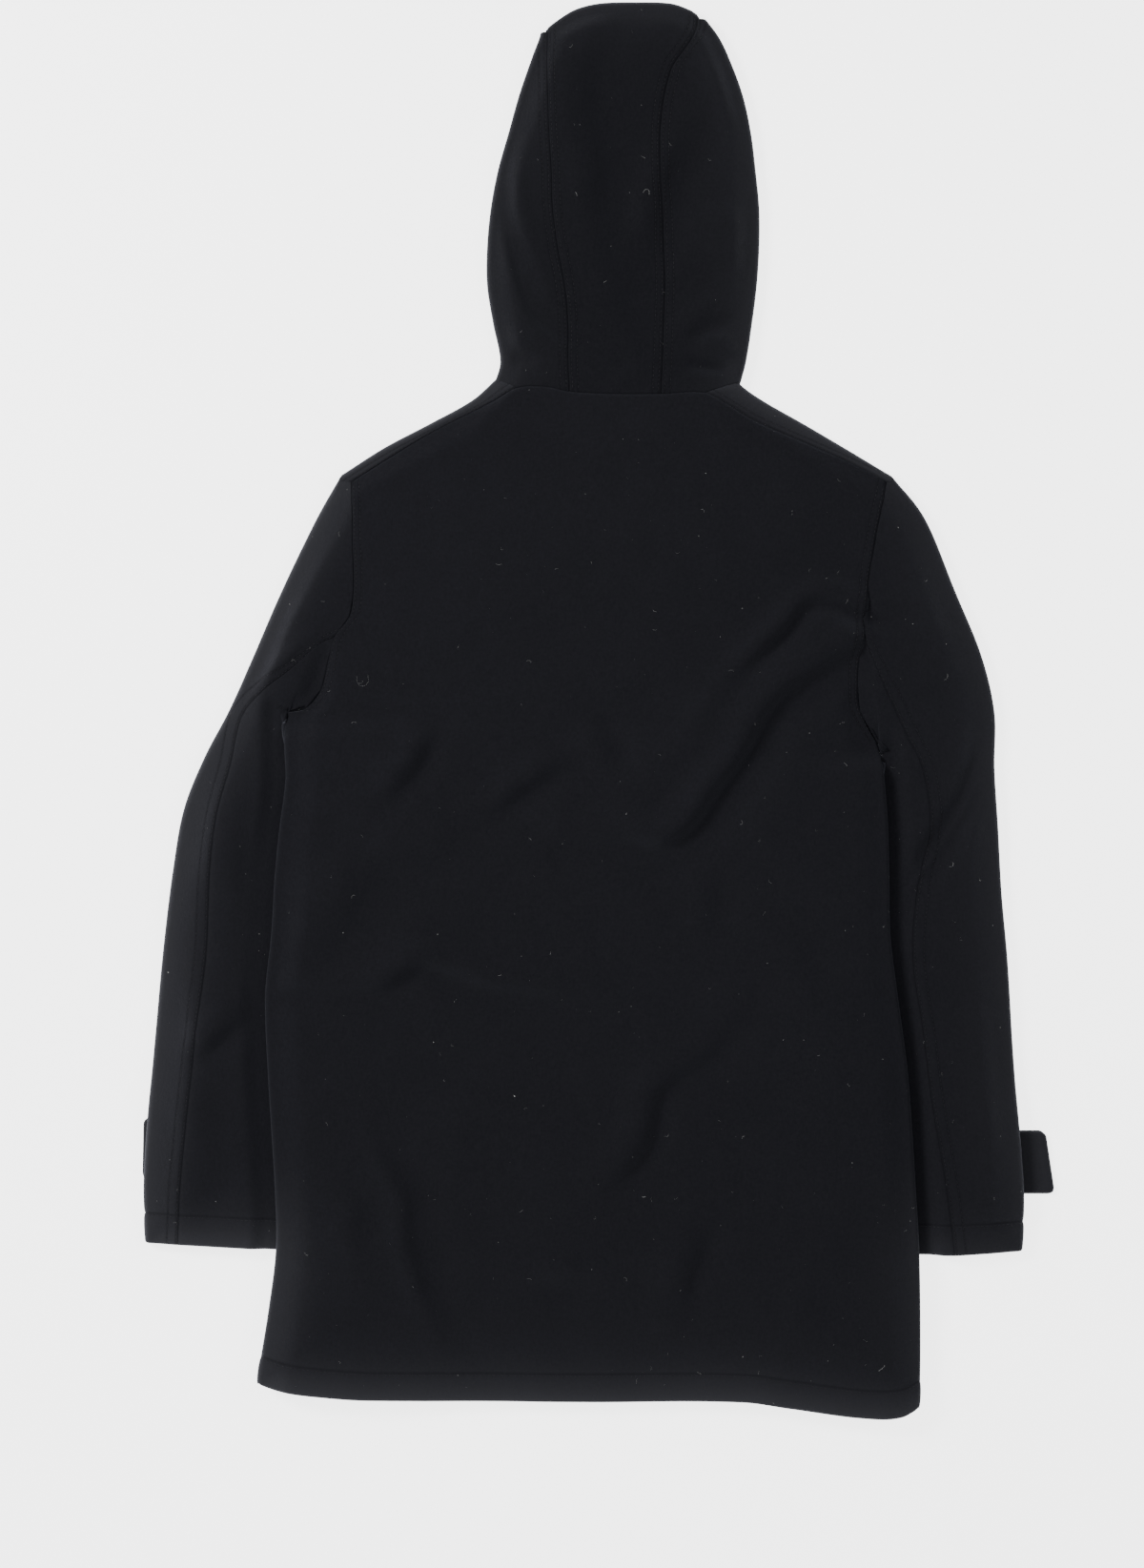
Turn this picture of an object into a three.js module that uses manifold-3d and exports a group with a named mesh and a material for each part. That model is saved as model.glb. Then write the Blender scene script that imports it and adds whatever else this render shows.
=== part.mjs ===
// A thigh-length hooded coat in heavy wool cloth, laid out flat with its face down.
// Millimetres, +Z up, +Y toward the hood, wearer's left arm at -X. The floor is z = 0.
//
// Every piece is a wall of cloth: a grid of knots on its outer face, each knot with the
// direction in which the cloth faces, and the same grid set back by the cloth's thickness.
// Two pieces that are sewn together are made from the same knots along their seam.
import * as THREE from "three";
import { mergeVertices } from "three/addons/utils/BufferGeometryUtils.js";
import Module from "manifold-3d";

const wasm = await Module();
wasm.setup();

const { clamp, lerp, smoothstep } = THREE.MathUtils;
const SIDES = ["left", "right"];
const INWARD = { left: 1, right: -1 }; // along X, toward the middle
const UP = new THREE.Vector3(0, 0, 1);
const DOWN = new THREE.Vector3(0, 0, -1);

// ---- Driving sizes ------------------------------------------------------------------

const WALL = 3; // cloth
const SEAM_GAP = 0.3; // clearance between two sewn pieces
const BODY_STACK = 9.9; // top of the back above what the body lies on
const SLEEVE_STACK = 7.6; // top of a sleeve where the body lies on it
const NESTLE = 10; // how far outside the body the sleeve is already as low as beneath it
const LAYER_GAP = 0.8; // air between the sleeve and the body on it
const SIDE_ROLL = 4.2; // radius of the fold along the body's sides
const SHOULDER_ROLL = 4.8; // radius of the fold along the shoulders
const SLEEVE_ROLL = 5; // radius of the fold along a sleeve's outer edge
const INNER_ROLL = SLEEVE_STACK / 2; // radius of the fold along a sleeve's inner edge
const HOOD_ROLL = 5; // radius of the fold round the hood
const EDGE_BLEND = 26; // width over which a panel sinks to the fold at its edge
const LIFT_LENGTH = 24; // stretch below the armpit over which the body climbs the sleeve
const LIFT_MARGIN = 20; // level part of the body beside the sleeve's inner edge
const LIFT_RAMP = 40; // width of the body's slope down from there
const FACE_EDGE = { left: -6, right: 24 }; // edges of the hood's opening, on its underside
const FACE_TURN = { from: 470, to: 520 }; // stretch over which they run out to the crown
const HOOD_WRAP = 34; // how far the centre strip comes round to the hood's underside

const TAB_THICKNESS = 4;
const TAB_CORNER = 6;
const TAB_MARGIN = 15; // flat cloth round the hidden part of a tab
const TAB_RAMP = 12; // width of the sleeve's slope down from there

// Grid steps
const LOWER_ROWS = 18; // hem to armpit
const LOWER_CROWDING = 1.25; // closer together toward the armpit
const SHOULDER_STEPS = 6;
const NECK_STEPS = { side: 3, centre: 6 };
const ROLL_STEPS = 3; // a quarter turn
const FOLD_STEPS = 5; // a half turn
const FLAT_SPREAD = 0.25; // widening per row of the columns beside an armhole
const SMALLEST = 0.02; // detail that a cut leaves out
// Rows of the hood, as shares of the way to the crown. The left side stops one row short.
const HOOD_STATIONS = [0, 0.08, 0.17, 0.26, 0.36, 0.46, 0.56, 0.66, 0.76, 0.86, 0.97, 1];
const CROWN_TURN = 0.86; // from here on the seams run to the crown's corners
const HOOD_BLEND = { top: 0.35, under: 0.7 }; // shares over which it leaves the neck's form
const HOOD_UNDER_STEPS = 4;
const WRAP_STEPS = 2;
// Rings of a sleeve, by row of its table: closer at the armhole and beside the tab
const RINGS = [0, 0.5, 1, 1.6, 2.3, 3, 4, 5, 6, 7, 8, 9, 9.8, 10.1, 11.06, 11.35, 12];

// ---- Tables -------------------------------------------------------------------------

/** Names the columns of a table and numbers its rows. */
function table(columns, values) {
  return values.map((line, row) =>
    Object.fromEntries([["row", row], ...columns.map((name, i) => [name, line[i]])])
  );
}

// Side edges of the body
const BODY_SIDES = table(["y", "left", "right"], [
  [-590, -289, 267],
  [-550, -284, 268],
  [-500, -276, 268],
  [-450, -270, 267],
  [-400, -271, 264],
  [-350, -274, 261],
  [-300, -277, 257],
  [-240, -279, 249],
  [-190, -274, 243],
  [-140, -271, 242],
  [-100, -267, 241],
  [-60, -262, 238],
  [-34, -263, 235],
  [-4, -263, 230],
]);

const HEM = table(["x", "y"], [
  [-289, -563],
  [-271, -569],
  [-240, -574],
  [-190, -578],
  [0, -580],
  [120, -580],
  [160, -585],
  [215, -592],
  [252, -592],
  [268, -584],
]);

// Top edge of the back: shoulder seam, neck seam, shoulder seam
const NECK_POINTS = { left: -69, right: 88 };
const BACK_TOP = table(["x", "y"], [
  [-207, 189],
  [-142, 229],
  [-87, 257],
  [-69, 267],
  [-45, 268],
  [-25, 264],
  [13, 262],
  [52, 262],
  [88, 263],
  [106, 254],
  [129, 240],
  [175, 220],
  [207, 206],
  [240, 189],
]);

// Fold along the shoulders, carried on across the foot of the hood
const SHOULDER_FOLD = table(["x", "y"], [
  [-216, 195],
  [-180, 218],
  [-142, 238],
  [-106, 258],
  [-88, 274],
  [-60, 300],
  [90, 300],
  [118, 271],
  [136, 258],
  [171, 238],
  [205, 218],
  [245, 194],
]);

// Armholes, shoulder first. The sleeve's back seam meets row 6.
const ARMHOLES = {
  left: table(["x", "y"], [
    [-207, 189],
    [-206, 166],
    [-206, 142],
    [-205, 118],
    [-205, 97],
    [-208, 77],
    [-221, 59],
    [-226, 40],
    [-232, 16],
    [-245, 0],
    [-263, -4],
  ]),
  right: table(["x", "y"], [
    [240, 189],
    [236, 170],
    [231, 145],
    [227, 122],
    [224, 100],
    [222, 80],
    [221, 59],
    [217, 40],
    [216, 20],
    [218, -2],
    [235, -34],
  ]),
};
// Rings over which a sleeve's sections leave the form of the armhole
const ARMHOLE_BLEND = { outer: 3.5, inner: 1, height: 1.6, outerTurn: 0.8, innerTurn: 3.5 };
const SEAM_ROW = 6;
const ARMPIT_ROW = 10;

// Where the fold along the shoulder runs on into the sleeve's outer edge
const SHOULDER_ENDS = { left: { x: -216, y: 195 }, right: { x: 245, y: 194 } };

// Corners where the fold along the shoulder meets the hood
const HOOD_CORNERS = { left: { x: -88, y: 272 }, right: { x: 118, y: 271 } };

// Sleeves from armhole to cuff: outer edge, back seam, inner edge under the body
const SLEEVE_COLUMNS = ["outerX", "outerY", "seamX", "seamY", "innerX", "innerY"];
const SLEEVES = {
  left: table(SLEEVE_COLUMNS, [
    [-216, 195, -221, 59, -265.1, -7.2],
    [-237, 158, -235, 52, -268, -11],
    [-266, 98, -258, 32, -273, -20],
    [-292, 38, -281, 14, -270, -40],
    [-310, -2, -299, -8, -257, -72],
    [-331, -42, -308, -48, -240, -100],
    [-348, -85, -319, -90, -224, -138],
    [-357, -135, -325, -142, -212, -185],
    [-365, -200, -328, -206, -206, -240],
    [-371, -265, -336, -271, -208, -296],
    [-377, -333, -343, -338, -215, -350],
    [-381, -396, -349, -399, -227, -405],
    [-380, -448, -352, -449, -242, -456],
  ]),
  right: table(SLEEVE_COLUMNS, [
    [245, 194, 221, 59, 235.6, -37.8],
    [273, 158, 227, 44, 239, -42],
    [298, 98, 236, 22, 241, -49],
    [320, 44, 246, 0, 242, -58],
    [331, -4, 257, -24, 236, -84],
    [331, -50, 270, -52, 212, -128],
    [334, -100, 276, -98, 195, -170],
    [337, -155, 266, -152, 187, -212],
    [342, -212, 262, -206, 183, -262],
    [346, -280, 271, -272, 184, -316],
    [350, -336, 279, -336, 190, -360],
    [355, -404, 290, -402, 202, -412],
    [354, -455, 297, -458, 214, -458],
  ]),
};

// Hood, neck to crown: silhouette and the two seams of the centre strip
const HOOD = table(["y", "left", "leftSeam", "rightSeam", "right"], [
  [271, -88, -25, 52, 118],
  [290, -83, -26, 53, 123],
  [322, -89, -26, 54, 128],
  [354, -94, -29, 55, 132],
  [386, -94, -35, 54, 134],
  [418, -91, -39, 53, 134],
  [450, -85, -40, 51, 131],
  [482, -76, -42, 51, 127],
  [514, -67, -43, 55, 120],
  [546, -56, -44, 64, 108],
  [562, -50, -45, 70, 100],
  [578, -46, -43, 79, 88],
]);
const CROWN = table(["x", "y"], [
  [-43, 570],
  [-32, 578],
  [-20, 585],
  [0, 590],
  [32, 591],
  [60, 590],
  [75, 585],
  [82, 581],
]);

// Neckline of the fronts, under the hood, from each side to the hood's opening
const NECKLINES = {
  left: table(["x", "y"], [
    [-83, 272],
    [-64, 228],
    [-45, 212],
    [-25, 205],
    [FACE_EDGE.left, 203],
  ]),
  right: table(["x", "y"], [
    [113, 271],
    [91, 231],
    [69, 214],
    [46, 206],
    [FACE_EDGE.right, 203],
  ]),
};

// Closing edges: lines of knots down each front. The right front climbs onto the left.
const FLY = {
  left: table(["x", "z"], [
    [-40, 0],
    [0, 0],
    [35, 0],
  ]),
  right: table(["x", "z"], [
    [70, 0],
    [53, 1.7],
    [37, WALL + SEAM_GAP],
    [6, WALL + SEAM_GAP],
    [-25, WALL + SEAM_GAP],
  ]),
};

// Cuff tabs: corners of the strap, hidden end first
const TABS = {
  left: table(["x", "y"], [
    [-355, -343],
    [-382, -343],
    [-383, -395],
    [-355, -395],
  ]),
  right: table(["x", "y"], [
    [326, -354],
    [374, -354],
    [382, -407],
    [326, -407],
  ]),
};

// Folds: a soft ridge along a segment, or a trough where the height is negative
const FOLDS = table(["x0", "y0", "x1", "y1", "width", "height"], [
  [-140, 90, 130, 110, 62, 4], // upper back
  [-120, -420, 130, -420, 80, 3], // skirt
  [89, 18, 153, 66, 13, 7], // arch from the back into the right sleeve
  [153, 66, 221, 78, 13, 7],
  [221, 78, 290, 66, 16, 6],
  [170, -20, 112, -118, 22, 6], // below it
  [64, -10, 34, -92, 18, 5],
  [205, 40, 146, 0, 11, -7],
  [146, 0, 98, -78, 11, -7],
  [98, -78, 48, -124, 11, -5],
  [48, -124, -22, -118, 10, -4],
  [-40, -170, 60, -170, 22, 3],
  [-140, -40, -176, -80, 14, 4], // left waist
  [-200, -134, -118, -130, 12, 3],
  [-262, -222, -180, -222, 12, 4],
  [-262, -240, -180, -240, 8, -5],
  [-119, -218, -71, -242, 12, 4],
  [-71, -242, 41, -242, 12, 4],
  [129, -246, 73, -308, 15, 5], // skirt
  [-183, -326, -158, -400, 16, 5],
  [-158, -400, -150, -462, 16, 5],
  [-150, -462, -127, -500, 14, 4],
  [-126, -440, -104, -484, 10, 3],
  [92, -440, 58, -500, 12, 3],
  [-255, 90, -285, 30, 20, 5], // left sleeve
  [-300, -60, -318, -160, 20, 4],
  [-322, -190, -340, -420, 22, 4],
  [250, 130, 285, 60, 22, 5], // right sleeve
  [290, 40, 306, -30, 24, 7],
  [322, -20, 300, -76, 15, 7],
  [300, -76, 256, -160, 15, 7],
  [320, -96, 284, -150, 10, -5],
  [300, -220, 330, -420, 24, 4],
  [0, 340, 10, 520, 48, 4], // hood
  [-60, 420, -78, 470, 16, 4],
  [-84, 436, -50, 342, 9, -5],
  [-50, 342, 2, 294, 9, -5],
  [-66, 350, -30, 300, 14, 5],
  [96, 540, 124, 470, 12, 4],
  [98, 420, 104, 330, 22, 4],
]);

// ---- Curves and heights -------------------------------------------------------------

/** A smooth function through a table: one column against another that rises or falls. */
function curve(rows, from, to) {
  const sorted = [...rows].sort((a, b) => a[from] - b[from]);
  const last = sorted.length - 1;
  const slope = (i) => {
    const [a, b] = [sorted[Math.max(i - 1, 0)], sorted[Math.min(i + 1, last)]];
    return (b[to] - a[to]) / (b[from] - a[from]);
  };
  return (value) => {
    const at = clamp(value, sorted[0][from], sorted[last][from]);
    const next = Math.max(1, sorted.findIndex((row) => row[from] >= at));
    const [a, b] = [sorted[next - 1], sorted[next]];
    const span = b[from] - a[from];
    const s = (at - a[from]) / span;
    const rise = s * s * (3 - 2 * s);
    const turnIn = s * (1 - s) * (1 - s) * span * slope(next - 1);
    const turnOut = s * s * (s - 1) * span * slope(next);
    return lerp(a[to], b[to], rise) + turnIn + turnOut;
  };
}

const sideOf = { left: curve(BODY_SIDES, "y", "left"), right: curve(BODY_SIDES, "y", "right") };
const innerOf = {
  left: curve(SLEEVES.left, "innerY", "innerX"),
  right: curve(SLEEVES.right, "innerY", "innerX"),
};
const hoodOf = Object.fromEntries(
  ["left", "leftSeam", "rightSeam", "right"].map((name) => [name, curve(HOOD, "y", name)])
);
const hemOf = curve(HEM, "x", "y");
const backTopOf = curve(BACK_TOP, "x", "y");
const shoulderFoldOf = curve(SHOULDER_FOLD, "x", "y");
const crownOf = curve(CROWN, "x", "y");
const ARMPITS = { left: ARMHOLES.left[ARMPIT_ROW], right: ARMHOLES.right[ARMPIT_ROW] };

/** Sum of the folds at a point, never below the flat cloth. */
function foldHeight(x, y) {
  let sum = 0;
  for (const fold of FOLDS) {
    const [dx, dy] = [fold.x1 - fold.x0, fold.y1 - fold.y0];
    const along = ((x - fold.x0) * dx + (y - fold.y0) * dy) / (dx * dx + dy * dy);
    const s = clamp(along, 0, 1);
    const away = Math.hypot(x - fold.x0 - s * dx, y - fold.y0 - s * dy) / fold.width;
    sum += fold.height * Math.exp(-away * away);
  }
  return Math.max(sum, 0);
}

/** How much of its lift the body has beside a sleeve, from none at the armpit to all. */
function liftShare(side, y) {
  return smoothstep(ARMPITS[side].y - y, 0, LIFT_LENGTH);
}

/** Height of the body's underside where it lies on a sleeve. */
function bodyLift(x, y) {
  const side = x < 0 ? "left" : "right";
  const inside = (x - sideOf[side](y)) * INWARD[side];
  const covered = Math.max((innerOf[side](y) - sideOf[side](y)) * INWARD[side], 0);
  const level = covered + LIFT_MARGIN;
  const slope = 1 - smoothstep(inside, level, level + LIFT_RAMP);
  return (SLEEVE_STACK + LAYER_GAP) * liftShare(side, y) * slope;
}

// ---- Cloth walls --------------------------------------------------------------------

const knot = (x, y, z, out = UP) => ({ at: new THREE.Vector3(x, y, z), out });

/** Knots round a fold, from its underside to its top or part of the way. */
function foldKnots(edge, outward, radius, base, from, to, steps) {
  return Array.from({ length: steps + 1 }, (_, i) => {
    const angle = lerp(from, to, i / steps);
    const reach = radius * (Math.cos(angle) - 1);
    const out = outward.clone().multiplyScalar(Math.cos(angle)).addScaledVector(UP, Math.sin(angle));
    const z = base + radius * (1 + Math.sin(angle));
    return knot(edge.x + outward.x * reach, edge.y + outward.y * reach, z, out);
  });
}

/** Draws the named borders of a grid back from their seams. */
function trimmed(grid, borders) {
  const lastRow = grid.length - 1;
  const lastColumn = grid[0].length - 1;
  const moves = [];
  const draw = (from, toward) => {
    const step = toward.at.clone().sub(from.at).setLength(SEAM_GAP / 2);
    moves.push([from, step]);
  };
  grid.forEach((row) => {
    if (borders.includes("start")) draw(row[0], row[1]);
    if (borders.includes("end")) draw(row[lastColumn], row[lastColumn - 1]);
  });
  grid[0].forEach((_, c) => {
    if (borders.includes("first")) draw(grid[0][c], grid[1][c]);
    if (borders.includes("last")) draw(grid[lastRow][c], grid[lastRow - 1][c]);
  });
  const copy = new Map();
  moves.forEach(([from, step]) => copy.set(from, (copy.get(from) ?? from.at.clone()).add(step)));
  return grid.map((row) => row.map((k) => ({ at: copy.get(k) ?? k.at, out: k.out })));
}

/** Geometry of a closed wall of cloth behind a grid of knots. */
function wall(grid) {
  const [rows, columns] = [grid.length, grid[0].length];
  const points = [0, WALL].flatMap((depth) =>
    grid.flat().map((k) => k.at.clone().addScaledVector(k.out, -depth))
  );
  const id = (layer, r, c) => (layer * rows + r) * columns + c;
  const index = [];
  const quad = (a, b, c, d) => index.push(a, b, c, a, c, d);
  for (let r = 0; r < rows - 1; r++) {
    for (let c = 0; c < columns - 1; c++) {
      quad(id(0, r, c), id(0, r, c + 1), id(0, r + 1, c + 1), id(0, r + 1, c));
      quad(id(1, r, c), id(1, r + 1, c), id(1, r + 1, c + 1), id(1, r, c + 1));
    }
    quad(id(0, r, 0), id(0, r + 1, 0), id(1, r + 1, 0), id(1, r, 0));
    quad(id(0, r, columns - 1), id(1, r, columns - 1), id(1, r + 1, columns - 1),
      id(0, r + 1, columns - 1));
  }
  for (let c = 0; c < columns - 1; c++) {
    quad(id(0, 0, c), id(1, 0, c), id(1, 0, c + 1), id(0, 0, c + 1));
    quad(id(0, rows - 1, c), id(0, rows - 1, c + 1), id(1, rows - 1, c + 1), id(1, rows - 1, c));
  }
  const facesOut = signedVolume(points, index) > 0;
  if (!facesOut) index.reverse();
  return new THREE.BufferGeometry().setFromPoints(points).setIndex(index);
}

function signedVolume(points, index) {
  let volume = 0;
  for (let i = 0; i < index.length; i += 3) {
    const [a, b, c] = [points[index[i]], points[index[i + 1]], points[index[i + 2]]];
    volume += a.dot(b.clone().cross(c)) / 6;
  }
  return volume;
}

/** Cuts upright prisms out of a geometry. Each has an outline and a span of heights. */
function cutAway(geometry, prisms) {
  const solid = (source) => {
    const bare = source.index ? source.clone() : mergeVertices(source);
    bare.deleteAttribute("normal");
    bare.deleteAttribute("uv");
    const merged = mergeVertices(bare);
    return new wasm.Manifold(new wasm.Mesh({
      numProp: 3,
      vertProperties: new Float32Array(merged.attributes.position.array),
      triVerts: new Uint32Array(merged.index.array),
    }));
  };
  let left = solid(geometry);
  for (const { outline, bottom, top } of prisms) {
    const shape = new THREE.Shape(outline.map(({ x, y }) => new THREE.Vector2(x, y)));
    const prism = new THREE.ExtrudeGeometry(shape, { depth: top - bottom, bevelEnabled: false });
    left = left.subtract(solid(prism.translate(0, 0, bottom)));
  }
  const mesh = left.simplify(SMALLEST).getMesh();
  return new THREE.BufferGeometry()
    .setAttribute("position", new THREE.BufferAttribute(mesh.vertProperties, 3))
    .setIndex(new THREE.BufferAttribute(mesh.triVerts, 1));
}

// ---- Body ---------------------------------------------------------------------------

/** Rows across the body, hem first: the points where each one meets the body's edges. */
function bodyRows(tops) {
  const rows = [];
  for (let i = 0; i <= LOWER_ROWS; i++) {
    const t = 1 - (1 - i / LOWER_ROWS) ** LOWER_CROWDING;
    const row = { fromArmpit: 0, hemShare: (1 - t) ** 3, topShare: 0 };
    for (const side of SIDES) {
      const corner = HEM.at(side === "left" ? 0 : -1);
      const y = lerp(corner.y, ARMPITS[side].y, t);
      row[side] = { x: sideOf[side](y), y };
    }
    rows.push(row);
  }
  for (let k = ARMPIT_ROW - 1; k >= 0; k--) {
    const row = { fromArmpit: ARMPIT_ROW - k, hemShare: 0, topShare: (1 - k / ARMPIT_ROW) ** 2 };
    for (const side of SIDES) row[side] = k ? ARMHOLES[side][k] : tops[side];
    rows.push(row);
  }
  return rows;
}

/** Where a row passes x, between the hem's curve and the top edge's. */
function rowY(rows, row, x, topOf) {
  const share = (x - row.left.x) / (row.right.x - row.left.x);
  const chord = (of) => lerp(of.left.y, of.right.y, share);
  const place = (of) => lerp(of.left.x, of.right.x, share);
  const [hem, top] = [rows[0], rows.at(-1)];
  const hemBow = hemOf(place(hem)) - chord(hem);
  const topBow = topOf(place(top)) - chord(top);
  return chord(row) + row.hemShare * hemBow + row.topShare * topBow;
}

/** Top of the back: level with the folds at its edges, higher inside them. */
function backHeight(row, x, y) {
  const flat = BODY_STACK + foldHeight(x, y);
  const inside = Math.min(x - row.left.x, row.right.x - x) - SIDE_ROLL;
  const fromSide = smoothstep(inside + row.fromArmpit * EDGE_BLEND / 3, 0, EDGE_BLEND);
  const fromShoulder = smoothstep(shoulderFoldOf(x) - y - SHOULDER_ROLL, 0, EDGE_BLEND);
  const atSide = lerp(2 * SIDE_ROLL, flat, fromSide);
  const atShoulder = lerp(2 * SHOULDER_ROLL, flat, fromShoulder);
  return bodyLift(x, y) + Math.min(atSide, atShoulder);
}

/** How far in from a side the columns of its fold end, or end where there is no fold. */
const rollReach = (row) => SIDE_ROLL * (1 + row.fromArmpit * FLAT_SPREAD);

/** Knots from a side seam round the body's fold, or flat where there is no fold. */
function sideKnots(row, side, turn, flatZ) {
  const edge = row[side];
  const outward = new THREE.Vector3(-INWARD[side], 0, 0);
  const base = bodyLift(edge.x, edge.y);
  if (row.fromArmpit === 0) return foldKnots(edge, outward, SIDE_ROLL, base, 0, turn, ROLL_STEPS);
  return Array.from({ length: ROLL_STEPS + 1 }, (_, i) => {
    const x = edge.x + INWARD[side] * rollReach(row) * i / ROLL_STEPS;
    return knot(x, edge.y, flatZ(x, edge.y), turn > 0 ? UP : DOWN);
  });
}

/** Shares of the body's width at which the neck's knots lie. */
function neckShares() {
  const width = BACK_TOP.at(-1).x - BACK_TOP[0].x;
  const stops = [NECK_POINTS.left, HOOD[0].leftSeam, HOOD[0].rightSeam, NECK_POINTS.right];
  const steps = [NECK_STEPS.side, NECK_STEPS.centre, NECK_STEPS.side];
  const spots = [stops[0]];
  steps.forEach((count, i) => {
    for (let j = 1; j <= count; j++) spots.push(lerp(stops[i], stops[i + 1], j / count));
  });
  return spots.map((x) => (x - BACK_TOP[0].x) / width);
}

/** x of the knots between a side's fold and the neck. */
function shoulderSpots(row, side) {
  const share = side === "left" ? neckShares()[0] : neckShares().at(-1);
  const start = row[side].x + INWARD[side] * rollReach(row);
  const end = lerp(row.left.x, row.right.x, share);
  return Array.from({ length: SHOULDER_STEPS }, (_, i) => lerp(start, end, (i + 1) / SHOULDER_STEPS));
}

function backGrid() {
  const rows = bodyRows({ left: ARMHOLES.left[0], right: ARMHOLES.right[0] });
  return rows.map((row) => {
    const across = [
      ...shoulderSpots(row, "left"),
      ...neckShares().slice(1, -1).map((share) => lerp(row.left.x, row.right.x, share)),
      ...shoulderSpots(row, "right").reverse(),
    ];
    const top = (x, y) => backHeight(row, x, y);
    const middle = across.map((x) => {
      const y = rowY(rows, row, x, backTopOf);
      return knot(x, y, top(x, y));
    });
    const quarter = Math.PI / 2;
    return [
      ...sideKnots(row, "left", quarter, top),
      ...middle,
      ...sideKnots(row, "right", quarter, top).reverse(),
    ];
  });
}

/** The back's knots along a shoulder seam, armhole first. */
function shoulderSeam(back, side) {
  const count = ROLL_STEPS + SHOULDER_STEPS + 1;
  const top = back.at(-1);
  return side === "left" ? top.slice(0, count) : top.slice(-count).reverse();
}

/** The back's knots along an armhole, shoulder first. */
function armholeSeam(back, side) {
  const rows = back.slice(LOWER_ROWS + 1).reverse();
  return rows.map((row) => (side === "left" ? row[0] : row.at(-1)));
}

/** A front: flat on the floor, then round the shoulder to the seam on the back. */
function frontGrid(side, back) {
  const foldFoot = (end) => ({ x: end.x, y: end.y - SHOULDER_ROLL });
  const rows = bodyRows({ left: foldFoot(SHOULDER_ENDS.left), right: foldFoot(SHOULDER_ENDS.right) });
  const topOf = (x) => shoulderFoldOf(x) - SHOULDER_ROLL;
  const floor = rows.map((row) => [
    ...sideKnots(row, side, -Math.PI / 2, bodyLift),
    ...shoulderSpots(row, side).map((x) => {
      const y = rowY(rows, row, x, topOf);
      return knot(x, y, bodyLift(x, y), DOWN);
    }),
    ...FLY[side].map(({ x, z }) => knot(x, rowY(rows, row, x, topOf), z, DOWN)),
  ]);
  const outward = new THREE.Vector3(0, 1, 0);
  const round = floor.at(-1).map(({ at }) => {
    const edge = { x: at.x, y: at.y + SHOULDER_ROLL };
    return foldKnots(edge, outward, SHOULDER_ROLL, at.z, -Math.PI / 2, Math.PI / 2, FOLD_STEPS);
  });
  const seam = shoulderSeam(back, side);
  const fold = Array.from({ length: FOLD_STEPS }, (_, i) => round.map((knots) => knots[i + 1]));
  const last = fold.at(-1).map(({ at }, c) => seam[c] ?? knot(at.x, at.y - SHOULDER_ROLL, at.z));
  return [...floor, ...fold, last];
}

/** What the hood takes the place of: the neck, under the fold and over it. */
function neckCut() {
  const above = 340; // past the top of the back
  const [low, tall] = [-1, 40]; // from under the floor to over the cloth
  const draw = SEAM_GAP / 2;
  const split = 2 * WALL + SEAM_GAP + 0.2; // between the fronts and the shoulders' tops
  const { left, right } = HOOD_CORNERS;
  const frame = (inner) => [
    { x: left.x - draw, y: above },
    { x: left.x - draw, y: left.y - draw },
    ...inner.map(({ x, y }) => ({ x, y: y - draw })),
    { x: right.x + draw, y: right.y - draw },
    { x: right.x + draw, y: above },
  ];
  const { left: neckLeft, right: neckRight } = NECK_POINTS;
  const inside = 12; // clear of the shoulder seams
  const over = [
    NECKLINES.left[0],
    { x: neckLeft, y: backTopOf(neckLeft) },
    { x: neckLeft, y: backTopOf(neckLeft) - inside },
    { x: neckRight, y: backTopOf(neckRight) - inside },
    { x: neckRight, y: backTopOf(neckRight) },
    NECKLINES.right[0],
  ];
  const under = [...NECKLINES.left, ...[...NECKLINES.right].reverse()];
  return [
    { outline: frame(under), bottom: low, top: split },
    { outline: frame(over), bottom: split, top: split + tall },
  ];
}

// ---- Sleeves ------------------------------------------------------------------------

const TAB_BOXES = Object.fromEntries(
  SIDES.map((side) => {
    const [xs, ys] = [TABS[side].map(({ x }) => x), TABS[side].map(({ y }) => y)];
    const box = { x0: Math.min(...xs), x1: Math.max(...xs), y0: Math.min(...ys), y1: Math.max(...ys) };
    return [side, box];
  })
);

/** Height of the sleeve's underside where it lies on its tab. */
function tabLift(side, x, y) {
  const { x0, x1, y0, y1 } = TAB_BOXES[side];
  const away = Math.hypot(Math.max(x0 - x, x - x1, 0), Math.max(y0 - y, y - y1, 0));
  const share = 1 - smoothstep(away, TAB_MARGIN, TAB_MARGIN + TAB_RAMP);
  return (TAB_THICKNESS + SEAM_GAP) * share;
}

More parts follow.
